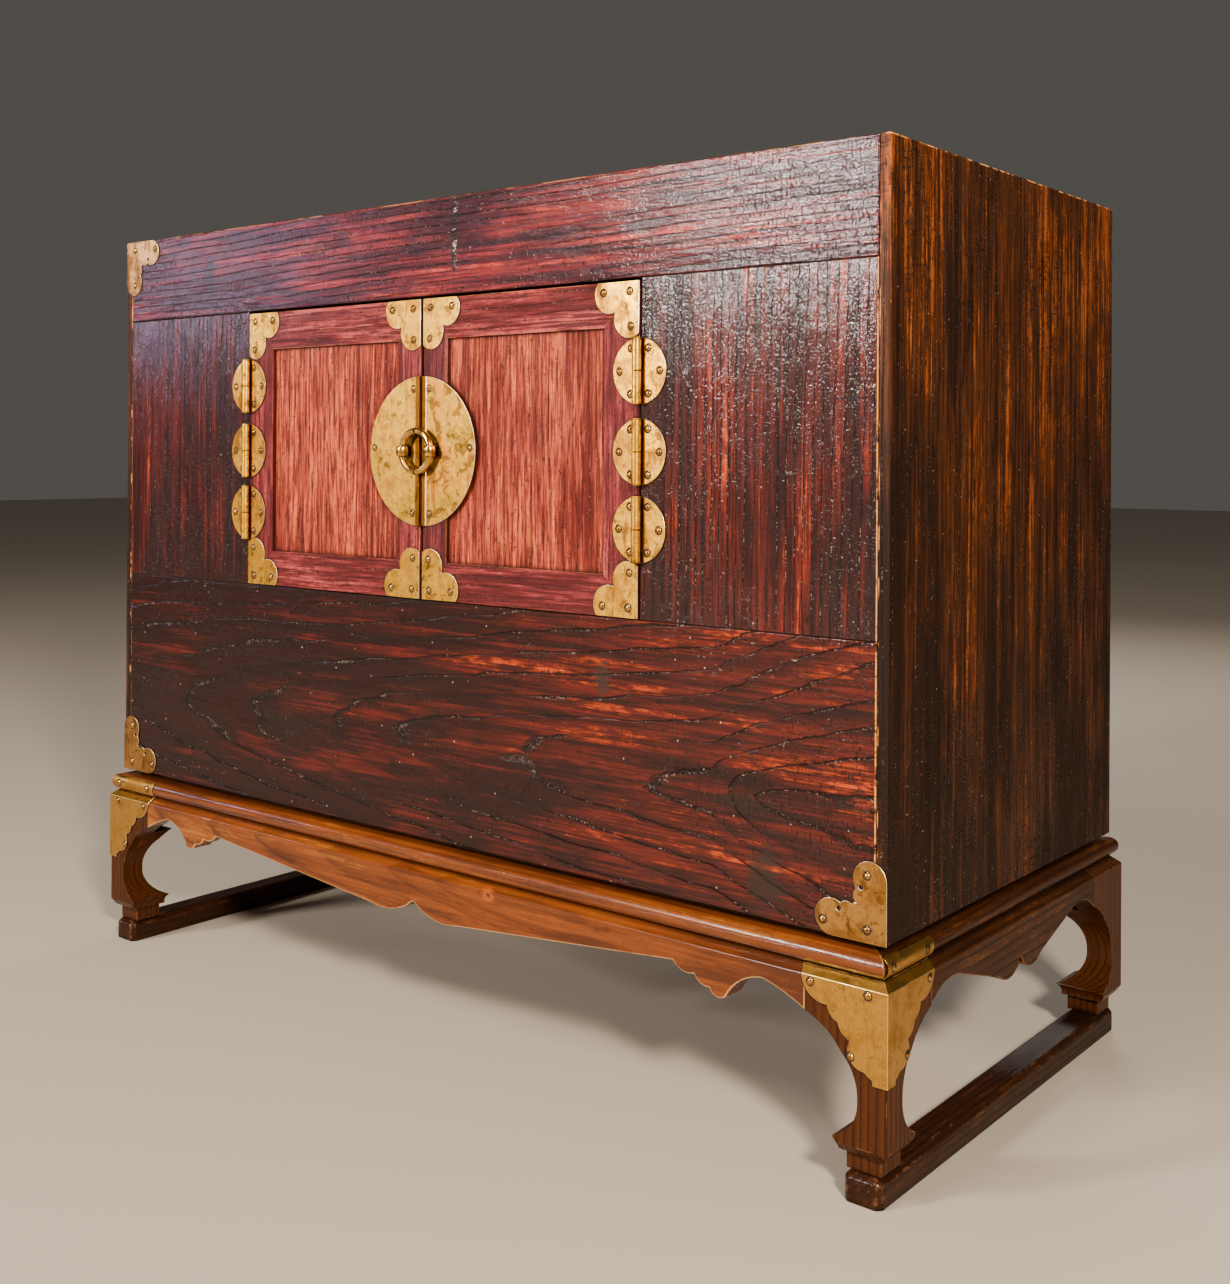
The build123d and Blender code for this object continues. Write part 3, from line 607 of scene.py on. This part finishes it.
apronWood = woodLike(
    "apronWood", offset=(0.5, 0.5, 0.9), ringGap=0.011,
    heart={"x": 0.088, "z": 0.146, "near": 9, "far": 14, "shift": 0.004},
    # the drift darkens the apron towards its right end: a painted shadow
    **{**standColors, "groove": 0.45, "drift": -0.12},
    marks=[
        (0.088, 0.146, 0.0085, 0.0060, (0.36, 0.075, 0.010, 1), 0.75, False),
        (0.089, 0.146, 0.0030, 0.0024, (0.050, 0.012, 0.003, 1), 0.85, False),
    ],
)
apronSideWood = woodLike(
    "apronSideWood", grain="Y", offset=(0.5, 0.5, 0.9), ringGap=0.008, **shadeColors,
)
legColors = {
    **shadeColors,
    "dark": (0.062, 0.017, 0.004, 1),
    "red": (0.190, 0.048, 0.009, 1),
    "glow": (0.30, 0.092, 0.017, 1),
    "rubbed": (0.42, 0.17, 0.05, 1),
    "rubFrom": 0.50,
    "rub": 0.35,
    "groove": 0.7,
    "fall": 0.5,
}
legWood = woodLike(
    "legWood", grain="Z", offset=(0.5, 0.2, 0.9), ringGap=0.006, figure=2.0, **legColors,
)
mouldingWood = woodLike(
    "mouldingWood", offset=(0.8, 0.3, 0.4), ringGap=0.008,
    **{**standColors, "coat": 0.55, "coatRoughness": 0.18},
)
mouldingSideWood = woodLike(
    "mouldingSideWood", grain="Y", offset=(0.8, 0.3, 0.4), ringGap=0.008, **shadeColors,
)
runnerColors = {
    **shadeColors,
    "dark": (0.014, 0.005, 0.0025, 1),
    "red": (0.032, 0.010, 0.004, 1),
    "glow": (0.065, 0.021, 0.006, 1),
    "rubbed": (0.16, 0.06, 0.025, 1),
    "rubFrom": 0.52,
}
runnerWood = woodLike(
    "runnerWood", grain="Y", offset=(0.2, 0.3, 0.4), ringGap=0.006, **runnerColors,
)
plainWood = woodLike(
    "plainWood", dark=(0.12, 0.065, 0.035, 1), red=(0.20, 0.115, 0.06, 1), glow=(0.27, 0.17, 0.095, 1),
    line=(0.06, 0.035, 0.02, 1), gloss=(0.7, 0.85), coat=0.0, groove=0.4, grooveDepth=0.0002, grit=0.0,
    ticks=0.0, tickDepth=0.0, wax=0.0, dots=0.0, pores=0.2, veins=0.3,
)

# brass, and the grime and painted shade round its nails

baseBrass = {
    "offset": (0, 0, 0),
    "bright": (1.0, 0.52, 0.035, 1),
    "tan": (0.54, 0.235, 0.018, 1),
    "brown": (0.17, 0.062, 0.009, 1),
    "black": (0.030, 0.012, 0.005, 1),
    "edge": (1.0, 0.76, 0.38, 1),
    "lap": None,
    "lapBrown": (0.16, 0.055, 0.008, 1),
    "tanFrom": 0.44,
    "tanWidth": 0.15,
    "stainsFrom": 0.55,
    "stainsWidth": 0.07,
    "stains": 0.75,
    "drips": 0.7,
    "specks": 0.7,
    "edgeWear": 0.8,
    "soot": 0.9,
    "sootReach": 0.0035,
    "metallic": 1.0,
    "gloss": (0.28, 0.48),
    "dullDrips": 0.15,
    "beaten": 0.0005,
    "speckDepth": 0.00006,
}
brassClouds = {
    # scale, detail, roughness, distortion
    "clouds": (42, 6, 0.68),
    "drips": (1, 5, 0.65),
    "specks": (420, 3, 0.6),
    "stains": (95, 5, 0.7, 0.6),
    "beaten": (75, 3),
}
brassLimits = {
    # where a pattern begins and where it is full
    "drips": (0.50, 0.66),
    "specks": (0.60, 0.70),
    "soot": (0.60, 0.95),
    "gloss": (0.35, 0.65),
}
dripStretch = (110, 110, 26)
lapSoftFrom = 0.85


def agedBrass(name, **changes):
    s = {**baseBrass, **changes}
    g = Graph(name)
    place = g.add("ShaderNodeTexCoord").outputs["Object"]
    moved = g.mapped(place, location=s["offset"])
    clouds = g.noise(moved, *brassClouds["clouds"])
    stains = g.noise(moved, *brassClouds["stains"])
    specks = g.noise(place, *brassClouds["specks"])
    beaten = g.noise(place, *brassClouds["beaten"])
    drips = g.noise(g.mapped(place, dripStretch, location=s["offset"]), *brassClouds["drips"])
    color = g.mix(g.onset(clouds, s["tanFrom"], s["tanWidth"]), s["bright"], s["tan"])
    color = g.mix(g.band(drips, brassLimits["drips"], 0.0, s["drips"]), color, s["brown"])
    stainBand = (s["stainsFrom"], s["stainsFrom"] + s["stainsWidth"])
    color = g.mix(g.band(stains, stainBand, 0.0, s["stains"]), color, s["brown"])
    color = g.mix(g.band(specks, brassLimits["specks"], 0.0, s["specks"]), color, s["brown"])
    if s["lap"]:
        # a darker strip where one plate laps the other
        middle, half, strength = s["lap"]
        sideways = g.add("ShaderNodeSeparateXYZ", Vector=place).outputs["X"]
        sideways = g.math("ABSOLUTE", g.math("SUBTRACT", sideways, middle))
        strip = g.band(sideways, (half * lapSoftFrom, half), strength, 0.0)
        color = g.mix(strip, color, s["lapBrown"])
    # painted shade, with some soot: darkened towards black where ambient occlusion finds corners and
    # crevices, strongest on the ring and the nails
    soot = g.band(g.corners(s["sootReach"]), brassLimits["soot"], s["soot"], 0.0)
    color = g.mix(soot, color, s["black"])
    color = g.mix(g.math("MULTIPLY", g.wornEdges(), s["edgeWear"]), color, s["edge"])
    g.feed(g.shader.inputs["Base Color"], color)
    g.shader.inputs["Metallic"].default_value = s["metallic"]
    gloss = g.band(clouds, brassLimits["gloss"], *s["gloss"])
    gloss = g.math("ADD", gloss, g.band(drips, brassLimits["drips"], 0.0, s["dullDrips"]))
    g.feed(g.shader.inputs["Roughness"], gloss)
    height = g.math("MULTIPLY", beaten, s["beaten"])
    height = g.math("ADD", height, g.math("MULTIPLY", specks, s["speckDepth"]))
    g.feed(g.shader.inputs["Normal"], g.bump(height))
    return g.material


plateBrass = agedBrass("plateBrass")
casePlateBrass = agedBrass(
    "casePlateBrass", bright=(0.47, 0.235, 0.055, 1), tan=(0.28, 0.12, 0.024, 1),
    brown=(0.13, 0.05, 0.012, 1), stainsFrom=0.53,
)
leftLockBrass = agedBrass(
    "leftLockBrass", lap=(-0.004, 0.0068, 0.92), drips=0.5, stainsFrom=0.58, tanFrom=0.47,
)
rightLockBrass = agedBrass(
    "rightLockBrass", offset=(0.3, 0.1, 0.7), bright=(1.0, 0.54, 0.040, 1), tan=(0.70, 0.30, 0.022, 1),
    lap=(-0.004, 0.0062, 0.92), stainsFrom=0.51, tanFrom=0.43,
)
mountBrass = agedBrass(
    "mountBrass", bright=(0.58, 0.30, 0.05, 1), tan=(0.42, 0.20, 0.03, 1),
    brown=(0.22, 0.10, 0.02, 1), edge=(1.0, 0.70, 0.26, 1), stainsFrom=0.60, drips=0.45,
)
ringBrass = agedBrass(
    "ringBrass", bright=(0.78, 0.44, 0.10, 1), tan=(0.40, 0.19, 0.045, 1), gloss=(0.14, 0.28),
    beaten=0.0001, drips=0.4, soot=1.0, sootReach=0.007,
)
nailBrass = agedBrass(
    "nailBrass", bright=(0.62, 0.33, 0.075, 1), tan=(0.34, 0.16, 0.034, 1),
    brown=(0.14, 0.055, 0.013, 1), gloss=(0.14, 0.28), beaten=0.0, soot=1.0,
)

grimeAndShadeSettings = {
    "color": (0.012, 0.006, 0.004, 1),
    "dusty": (0.0192, 0.0096, 0.0064, 1),
    "scale": 300,
    "detail": 3,
    "limits": (0.4, 0.7),
    "roughness": 0.8,
}


def nailGrimeAndShade(s):
    g = Graph("grime")
    place = g.add("ShaderNodeTexCoord").outputs["Object"]
    dust = g.band(g.noise(place, s["scale"], s["detail"]), s["limits"])
    g.feed(g.shader.inputs["Base Color"], g.mix(dust, s["color"], s["dusty"]))
    g.shader.inputs["Roughness"].default_value = s["roughness"]
    return g.material


grime = nailGrimeAndShade(grimeAndShadeSettings)
print("materials made")

# pieces taken over from the frame, with their edges eased

copySettings = {
    "merge": 0.000004,  # metres, for the frame's loose triangles
    "flat": 0.6,  # degrees between faces that are one
    "sharp": 28,  # degrees of an edge that is eased
    "smooth": 35,
    "normalWeight": 80,
}


def pieceName(nodeName):
    first, *rest = nodeName.split("_")
    return first + "".join(word.capitalize() for word in rest)


def mergedCopy(nodeName):
    bm = bmesh.new()
    bm.from_mesh(nodes[nodeName].data)
    bmesh.ops.remove_doubles(bm, verts=bm.verts, dist=copySettings["merge"])
    return bm


def easeEdges(bm, edges, width, segments=2):
    return bmesh.ops.bevel(
        bm, geom=edges, offset=width, offset_type="OFFSET", affect="EDGES", segments=segments,
        profile=0.5, material=-1, clamp_overlap=True,
    )


def closeUp(bm, distance):
    bmesh.ops.remove_doubles(bm, verts=bm.verts, dist=distance)
    bmesh.ops.recalc_face_normals(bm, faces=bm.faces)


def block(bm, size, middle):
    cube = bmesh.ops.create_cube(bm, size=1.0)
    bmesh.ops.scale(bm, verts=cube["verts"], vec=size)
    bmesh.ops.translate(bm, verts=cube["verts"], vec=middle)
    return cube["verts"]


def keep(bm, nodeName, materials, smooth=copySettings["smooth"]):
    name = pieceName(nodeName)
    mesh = bpy.data.meshes.new(name)
    bm.to_mesh(mesh)
    bm.free()
    for material in materials:
        mesh.materials.append(material)
    piece = bpy.data.objects.new(name, mesh)
    bpy.context.scene.collection.objects.link(piece)
    mesh.shade_smooth()
    mesh.set_sharp_from_angle(angle=math.radians(smooth))
    flat = piece.modifiers.new("flatFaces", "WEIGHTED_NORMAL")
    flat.keep_sharp = True
    flat.weight = copySettings["normalWeight"]
    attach(piece, nodes[nodeName]["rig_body"])
    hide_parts(nodeName)


def easedCopy(nodeName, material, ease, segments=2, wornWhere=None):
    bm = mergedCopy(nodeName)
    flat, sharp = math.radians(copySettings["flat"]), math.radians(copySettings["sharp"])
    bmesh.ops.dissolve_limit(bm, angle_limit=flat, verts=bm.verts, edges=bm.edges)
    corners = [e for e in bm.edges if e.is_manifold and e.calc_face_angle() > sharp]
    rubbed = bm.faces.layers.float.new("rubbed")
    for face in easeEdges(bm, corners, ease, segments)["faces"]:
        if wornWhere is None or wornWhere(face.calc_center_median()):
            face[rubbed] = 1.0
    keep(bm, nodeName, [material])


wearLimits = {
    "boardEnd": 0.4385,
    "lipInner": 0.4435,
    "topEdge": 0.7262,
    "frontFace": -0.197,
    "apronFoot": 0.148,
    "lockSeam": -0.004,
    "lockStrip": 0.0062,
}


def apronWear(spot):
    return spot.z < wearLimits["apronFoot"]


def caseWear(spot):
    # lacquer is rubbed through on the front corners and along the top edge only
    s = wearLimits
    frontCorner = s["boardEnd"] < abs(spot.x) < s["lipInner"] and spot.y < s["frontFace"]
    return frontCorner or spot.z > s["topEdge"]


def lockWear(spot):
    return abs(spot.x - wearLimits["lockSeam"]) > wearLimits["lockStrip"]


woodEase = {
    "front_top_board": (frontTopWood, "front_wood", 0.0012),
    "front_bottom_board": (frontBottomWood, "front_wood", 0.0012),
    "flank_left": (flankWood, "front_wood", 0.0010),
    "flank_right": (flankWood, "front_wood", 0.0010),
    "side_board_left": (sideWood, "side_wood", 0.0014),
    "side_board_right": (sideWood, "side_wood", 0.0014),
    "top_board": (topWood, "front_wood", 0.0008),
    "apron_front": (apronWood, "stand_wood", 0.0011),
    "apron_back": (apronWood, "stand_wood", 0.0011),
    "apron_left": (apronSideWood, "stand_wood", 0.0011),
    "apron_right": (apronSideWood, "stand_wood", 0.0011),
    "leg_front_left": (legWood, "stand_wood", 0.0011),
    "leg_front_right": (legWood, "stand_wood", 0.0011),
    "leg_back_left": (legWood, "stand_wood", 0.0011),
    "leg_back_right": (legWood, "stand_wood", 0.0011),
    "moulding_front": (mouldingWood, "stand_wood", 0.0005),
    "moulding_back": (mouldingWood, "stand_wood", 0.0005),
    "moulding_left": (mouldingSideWood, "stand_wood", 0.0005),
    "moulding_right": (mouldingSideWood, "stand_wood", 0.0005),
    "runner_left": (runnerWood, "runner_wood", 0.0018),
    "runner_right": (runnerWood, "runner_wood", 0.0018),
}
for nodeName, (material, slotName, ease) in woodEase.items():
    wear = None
    if slotName in ("front_wood", "side_wood"):
        wear = caseWear
    elif nodeName.startswith("apron"):
        wear = apronWear
    easedCopy(nodeName, material, ease, wornWhere=wear)

doorEase = {
    "left_panel": (doorPanelWood, 0.0006),
    "left_hinge_stile": (doorStileWood, 0.0007),
    "left_meeting_stile": (doorStileWood, 0.0007),
    "left_top_rail": (doorRailWood, 0.0007),
    "left_bottom_rail": (doorRailWood, 0.0007),
    "right_panel": (doorPanelWood, 0.0006),
    "right_hinge_stile": (doorStileWood, 0.0007),
    "right_meeting_stile": (rightStileWood, 0.0007),
    "right_top_rail": (doorRailWood, 0.0007),
    "right_bottom_rail": (doorRailWood, 0.0007),
}
for nodeName, (material, ease) in doorEase.items():
    easedCopy(nodeName, material, ease)

for nodeName in ("floor_board", "door_stops", "case_bearers"):
    nodes[nodeName].data.materials.clear()
    nodes[nodeName].data.materials.append(plainWood)

backShape = {"count": 3, "gap": 0.0006, "ease": 0.0012}


def backPlanks(s):
    low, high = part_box("back_planks")
    step = (high.z - low.z) / s["count"]
    bm = bmesh.new()
    for i in range(s["count"]):
        bottom = low.z + i * step + (s["gap"] / 2 if i else 0)
        top = low.z + (i + 1) * step - (s["gap"] / 2 if i < s["count"] - 1 else 0)
        size = (high.x - low.x, high.y - low.y, top - bottom)
        block(bm, size, ((low.x + high.x) / 2, (low.y + high.y) / 2, (bottom + top) / 2))
    easeEdges(bm, bm.edges[:], s["ease"])
    keep(bm, "back_planks", [plainWood])


backPlanks(backShape)
print("boards, doors and stand dressed")

brassEase = {
    # material, ease, where the edge is worn
    "case_corner_plates": (casePlateBrass, 0.0003, None),
    "left_corner_plates": (plateBrass, 0.0003, None),
    "right_corner_plates": (plateBrass, 0.0003, None),
    "left_lock_plate": (leftLockBrass, 0.0003, lockWear),
    "right_lock_plate": (rightLockBrass, 0.0003, lockWear),
    "leg_mount_left": (mountBrass, 0.0003, None),
    "leg_mount_right": (mountBrass, 0.0003, None),
    "moulding_strap_left": (mountBrass, 0.0003, None),
    "moulding_strap_right": (mountBrass, 0.0003, None),
}
for nodeName, (material, ease, wear) in brassEase.items():
    easedCopy(nodeName, material, ease, segments=1, wornWhere=wear)
print("brass plates dressed")

# nails: one round hammered head for each nail of the frame

nailShape = {
    "radius": 0.0027,
    "height": 0.0016,
    "dome": ((0, 1), (0.35, 0.93), (0.66, 0.72), (0.88, 0.42), (1, 0.08)),  # shares of radius and height
    "skirt": 0.0036,
    "turns": 14,
    "uneven": 0.07,
    "spin": 6,
    "seed": 11,
    "merge": 0.00001,
    "smooth": 60,
}


def islandBoxes(nodeName):
    bm = mergedCopy(nodeName)
    left, boxes = set(bm.verts), []
    for start in bm.verts:
        if start not in left:
            continue
        left.discard(start)
        group, queue = [], [start]
        while queue:
            vert = queue.pop()
            group.append(vert.co.copy())
            for edge in vert.link_edges:
                other = edge.other_vert(vert)
                if other in left:
                    left.discard(other)
                    queue.append(other)
        boxes.append(tuple(Vector(f(co[i] for co in group) for i in range(3)) for f in (min, max)))
    bm.free()
    return boxes


def spun(bm, outline, turns):
    # a full turn of an outline of radius and height about Z
    verts = [bm.verts.new((r, 0, h)) for r, h in outline]
    edges = [bm.edges.new(pair) for pair in zip(verts, verts[1:])]
    bmesh.ops.spin(
        bm, geom=verts + edges, cent=(0, 0, 0), axis=(0, 0, 1), angle=2 * math.pi,
        steps=turns, use_merge=True,
    )


def nailHeads(nodeName, s):
    bm = bmesh.new()
    uneven = random.Random(s["seed"])
    dome = [(r * s["radius"], h * s["height"]) for r, h in s["dome"]]
    collar = [dome[-1], (s["skirt"], 0.0)]
    for low, high in islandBoxes(nodeName):
        size = high - low
        along = max(range(3), key=lambda i: size[i])
        middle = (low + high) / 2
        outwards = Vector((0, 0, 0))
        outwards[along] = -1 if along == 1 else math.copysign(1, middle.x)
        base = middle + outwards * (size[along] / 2 - s["height"])
        before = set(bm.verts)
        spun(bm, dome, s["turns"])
        domeFaces = {f for f in bm.faces if not before.intersection(f.verts)}
        # a dark skirt round the foot of each head: grime and painted shade
        spun(bm, collar, s["turns"])
        for face in bm.faces:
            if face not in domeFaces and not before.intersection(face.verts):
                face.material_index = 1
        fresh = [v for v in bm.verts if v not in before]
        wide, tall = (1 + uneven.uniform(-1, 1) * s["uneven"] for _ in range(2))
        squash = Matrix.Diagonal((wide, tall, 1, 1))
        turn = outwards.to_track_quat("Z", "Y").to_matrix().to_4x4()
        spin = Matrix.Rotation(uneven.uniform(0, s["spin"]), 4, "Z")
        bmesh.ops.transform(bm, matrix=Matrix.Translation(base) @ turn @ spin @ squash, verts=fresh)
    closeUp(bm, s["merge"])
    keep(bm, nodeName, [nailBrass, grime], smooth=s["smooth"])


for nodeName in ("case_nails", "stand_nails", "left_nails", "right_nails"):
    nailHeads(nodeName, nailShape)
print("nails made")

# hinges: two half discs and a split barrel on a pin

hingeShape = {
    "lines": {"left": -0.2435, "right": 0.2355},
    "levels": (0.4508, 0.5103, 0.5723),
    "radius": 0.0255,
    "front": -0.2018,
    "sheet": 0.0012,
    "rim": 0.0003,
    "discTurns": 72,
    "inner": 0.00075,
    "relief": 0.0043,
    "split": 0.0002,
    "axis": -0.2050,
    "barrel": 0.0038,
    "barrelEase": 0.0004,
    "lip": ((0, 0.0008), (0.0004, 0.0005), (0.0002, 0)),  # past the barrel, and back from its end
    "barrelTurns": 24,
    "pin": 0.0017,
    "pinHead": 0.0009,
    "headDome": ((0, 1), (0.6, 0.8)),  # shares of the pin's radius and the head's height
    "headRim": 1.2,
    "headTurns": 16,
    "clear": 0.00005,
    "merge": 0.000005,
    "smooth": {"leaf": 40, "pin": 50},
}


def belongs(element, before):
    verts = [element] if isinstance(element, bmesh.types.BMVert) else element.verts
    return not any(v in before for v in verts)


def hingeLeaf(bm, x, z, way, upper, s):
    # way is 1 where the leaf lies to the right of the barrel
    before = set(bm.verts)
    bmesh.ops.create_circle(bm, cap_ends=True, segments=s["discTurns"], radius=s["radius"])

    def cut(place, normal, clear=False):
        group = [e for e in list(bm.verts) + list(bm.edges) + list(bm.faces) if belongs(e, before)]
        bmesh.ops.bisect_plane(bm, geom=group, plane_co=place, plane_no=normal, clear_inner=clear)

    def inNotch(spot):
        return abs(spot.x) < s["relief"] and spot.y * upper < s["split"]

    cut((way * s["inner"], 0, 0), (way, 0, 0), True)
    cut((way * s["relief"], 0, 0), (1, 0, 0))
    cut((0, upper * s["split"], 0), (0, 1, 0))
    notch = [f for f in bm.faces if belongs(f, before) and inNotch(f.calc_center_median())]
    bmesh.ops.delete(bm, geom=notch, context="FACES")
    bmesh.ops.dissolve_faces(bm, faces=[f for f in bm.faces if belongs(f, before)])
    faces = [f for f in bm.faces if belongs(f, before)]
    for face in faces:
        if face.normal.z < 0:
            face.normal_flip()
    made = bmesh.ops.extrude_face_region(bm, geom=faces)
    lifted = [v for v in made["geom"] if isinstance(v, bmesh.types.BMVert)]
    bmesh.ops.translate(bm, verts=lifted, vec=(0, 0, s["sheet"]))
    rim = [e for e in bm.edges if e.verts[0] in lifted and e.verts[1] in lifted]
    rubbed = bm.faces.layers.float["rubbed"]
    for face in easeEdges(bm, rim, s["rim"], segments=1)["faces"]:
        face[rubbed] = 1.0
    fresh = [v for v in bm.verts if v not in before]
    # laid flat against the front: the disc's Y turns up, its Z turns towards the viewer
    stand = Matrix(((1, 0, 0, x), (0, 0, -1, s["front"] + s["sheet"]), (0, 1, 0, z), (0, 0, 0, 1)))
    bmesh.ops.transform(bm, matrix=stand, verts=fresh)


def hingeBarrel(bm, x, z, upper, s):
    before = set(bm.verts)
    length, thick, ease = s["radius"] - s["split"], s["barrel"], s["barrelEase"]
    lip = [(thick + out, length - back) for out, back in s["lip"]]
    spun(bm, [(0, 0), (thick - ease, 0), (thick, ease), *lip, (0, length)], s["barrelTurns"])
    fresh = [v for v in bm.verts if v not in before]
    place = Matrix.Translation((x, s["axis"], z + upper * s["split"]))
    bmesh.ops.transform(bm, matrix=place @ Matrix.Diagonal((1, 1, upper, 1)), verts=fresh)


def hingeLeaves(nodeName, x, way, upper, s):
    bm = bmesh.new()
    bm.faces.layers.float.new("rubbed")
    for z in s["levels"]:
        hingeLeaf(bm, x, z, way, upper, s)
        hingeBarrel(bm, x, z, upper, s)
    closeUp(bm, s["merge"])
    keep(bm, nodeName, [plateBrass], smooth=s["smooth"]["leaf"])


def hingePins(s):
    bm = bmesh.new()
    r, h, rim = s["pin"], s["pinHead"], s["headRim"] * s["pin"]
    head = [(wide * r, high * h) for wide, high in s["headDome"]]
    head += [(rim, 2 * s["clear"]), (rim, s["clear"]), (0, s["clear"])]
    for x in s["lines"].values():
        for z in s["levels"]:
            for end in (-1, 1):
                before = set(bm.verts)
                spun(bm, head, s["headTurns"])
                fresh = [v for v in bm.verts if v not in before]
                place = Matrix.Translation((x, s["axis"], z + end * s["radius"]))
                bmesh.ops.transform(bm, matrix=place @ Matrix.Diagonal((1, 1, end, 1)), verts=fresh)
    closeUp(bm, s["merge"])
    keep(bm, "hinge_pins", [nailBrass], smooth=s["smooth"]["pin"])


for side, outwards in (("left", -1), ("right", 1)):
    # the case's leaf has the lower half of the barrel, the door's leaf the upper half
    line = hingeShape["lines"][side]
    hingeLeaves("hinge_leaves_case_" + side, line, outwards, -1, hingeShape)
    hingeLeaves(side + "_hinge_leaves", line, -outwards, 1, hingeShape)
hingePins(hingeShape)
print("hinges made")

# ring pull and the strap eyes that hold it

pullShape = {
    "seam": -0.004,
    "level": 0.5103,
    "axis": -0.2076,
    "ring": 0.0174,
    "wire": 0.0032,
    "wireTurns": 20,
    "ringTurns": 36,
    "gap": 0.00075,
    "eye": 0.017034,
    "bore": 0.0038,
    "band": 0.0056,
    "halfBand": 0.0045,
    "bandEdge": 0.001,
    "bandShoulder": (0.0003, 0.72),  # metres in from the crown, share of the half band
    "bandTurns": 28,
    "strap": 0.0036,
    "lap": 0.001,
    "back": -0.1829,
    "clinch": 0.0095,
    "clinchThick": 0.0016,
    "ease": 0.0004,
    "merge": 0.000005,
    "smooth": {"ring": 50, "eye": 40},
}


def halfRing(side, way, s):
    bm = bmesh.new()
    wire = bmesh.ops.create_circle(bm, cap_ends=True, segments=s["wireTurns"], radius=s["wire"])["verts"]
    # the wire's section stands where the ring meets the seam, and is swept round to the other meeting
    first = math.asin(s["gap"] / s["ring"])
    bmesh.ops.rotate(bm, verts=wire, cent=(0, 0, 0), matrix=Matrix.Rotation(math.pi / 2, 3, "Y"))
    bmesh.ops.translate(bm, verts=wire, vec=(0, 0, s["ring"]))
    bmesh.ops.rotate(bm, verts=wire, cent=(0, 0, 0), matrix=Matrix.Rotation(way * first, 3, "Y"))
    bmesh.ops.spin(
        bm, geom=bm.faces[:] + bm.edges[:] + bm.verts[:], cent=(0, 0, 0), axis=(0, way, 0),
        angle=math.pi - 2 * first, steps=s["ringTurns"], use_merge=False,
    )
    closeUp(bm, s["merge"])
    bmesh.ops.translate(bm, verts=bm.verts, vec=(s["seam"], s["axis"], s["level"]))
    keep(bm, side + "_ring_half", [ringBrass], smooth=s["smooth"]["ring"])


def strapEye(side, way, s):
    bm = bmesh.new()
    h, inner, outer = s["halfBand"], s["bore"], s["band"]
    drop, share = s["bandShoulder"]
    edge, shoulder = outer - s["bandEdge"], outer - drop
    outline = [
        (inner, -h), (edge, -h), (shoulder, -share * h), (outer, 0), (shoulder, share * h), (edge, h),
        (inner, h), (inner, -h),
    ]
    spun(bm, outline, s["bandTurns"])
    x = s["seam"] + way * s["eye"]
    bmesh.ops.translate(bm, verts=bm.verts, vec=(x, s["axis"], s["level"]))
    back, front = s["back"], s["axis"] + outer - s["lap"]
    for size, place in (
        ((s["strap"], back - front, 2 * h), (x, (back + front) / 2, s["level"])),
        ((2 * s["clinch"], s["clinchThick"], 2 * h), (x, back + s["clinchThick"] / 2, s["level"])),
    ):
        corners = block(bm, size, place)
        edges = dict.fromkeys(e for v in corners for e in v.link_edges)
        easeEdges(bm, list(edges), s["ease"])
    closeUp(bm, s["merge"])
    keep(bm, side + "_staple", [ringBrass], smooth=s["smooth"]["eye"])


for side, way in (("left", -1), ("right", 1)):
    halfRing(side, way, pullShape)
    strapEye(side, way, pullShape)
print("ring pull made")
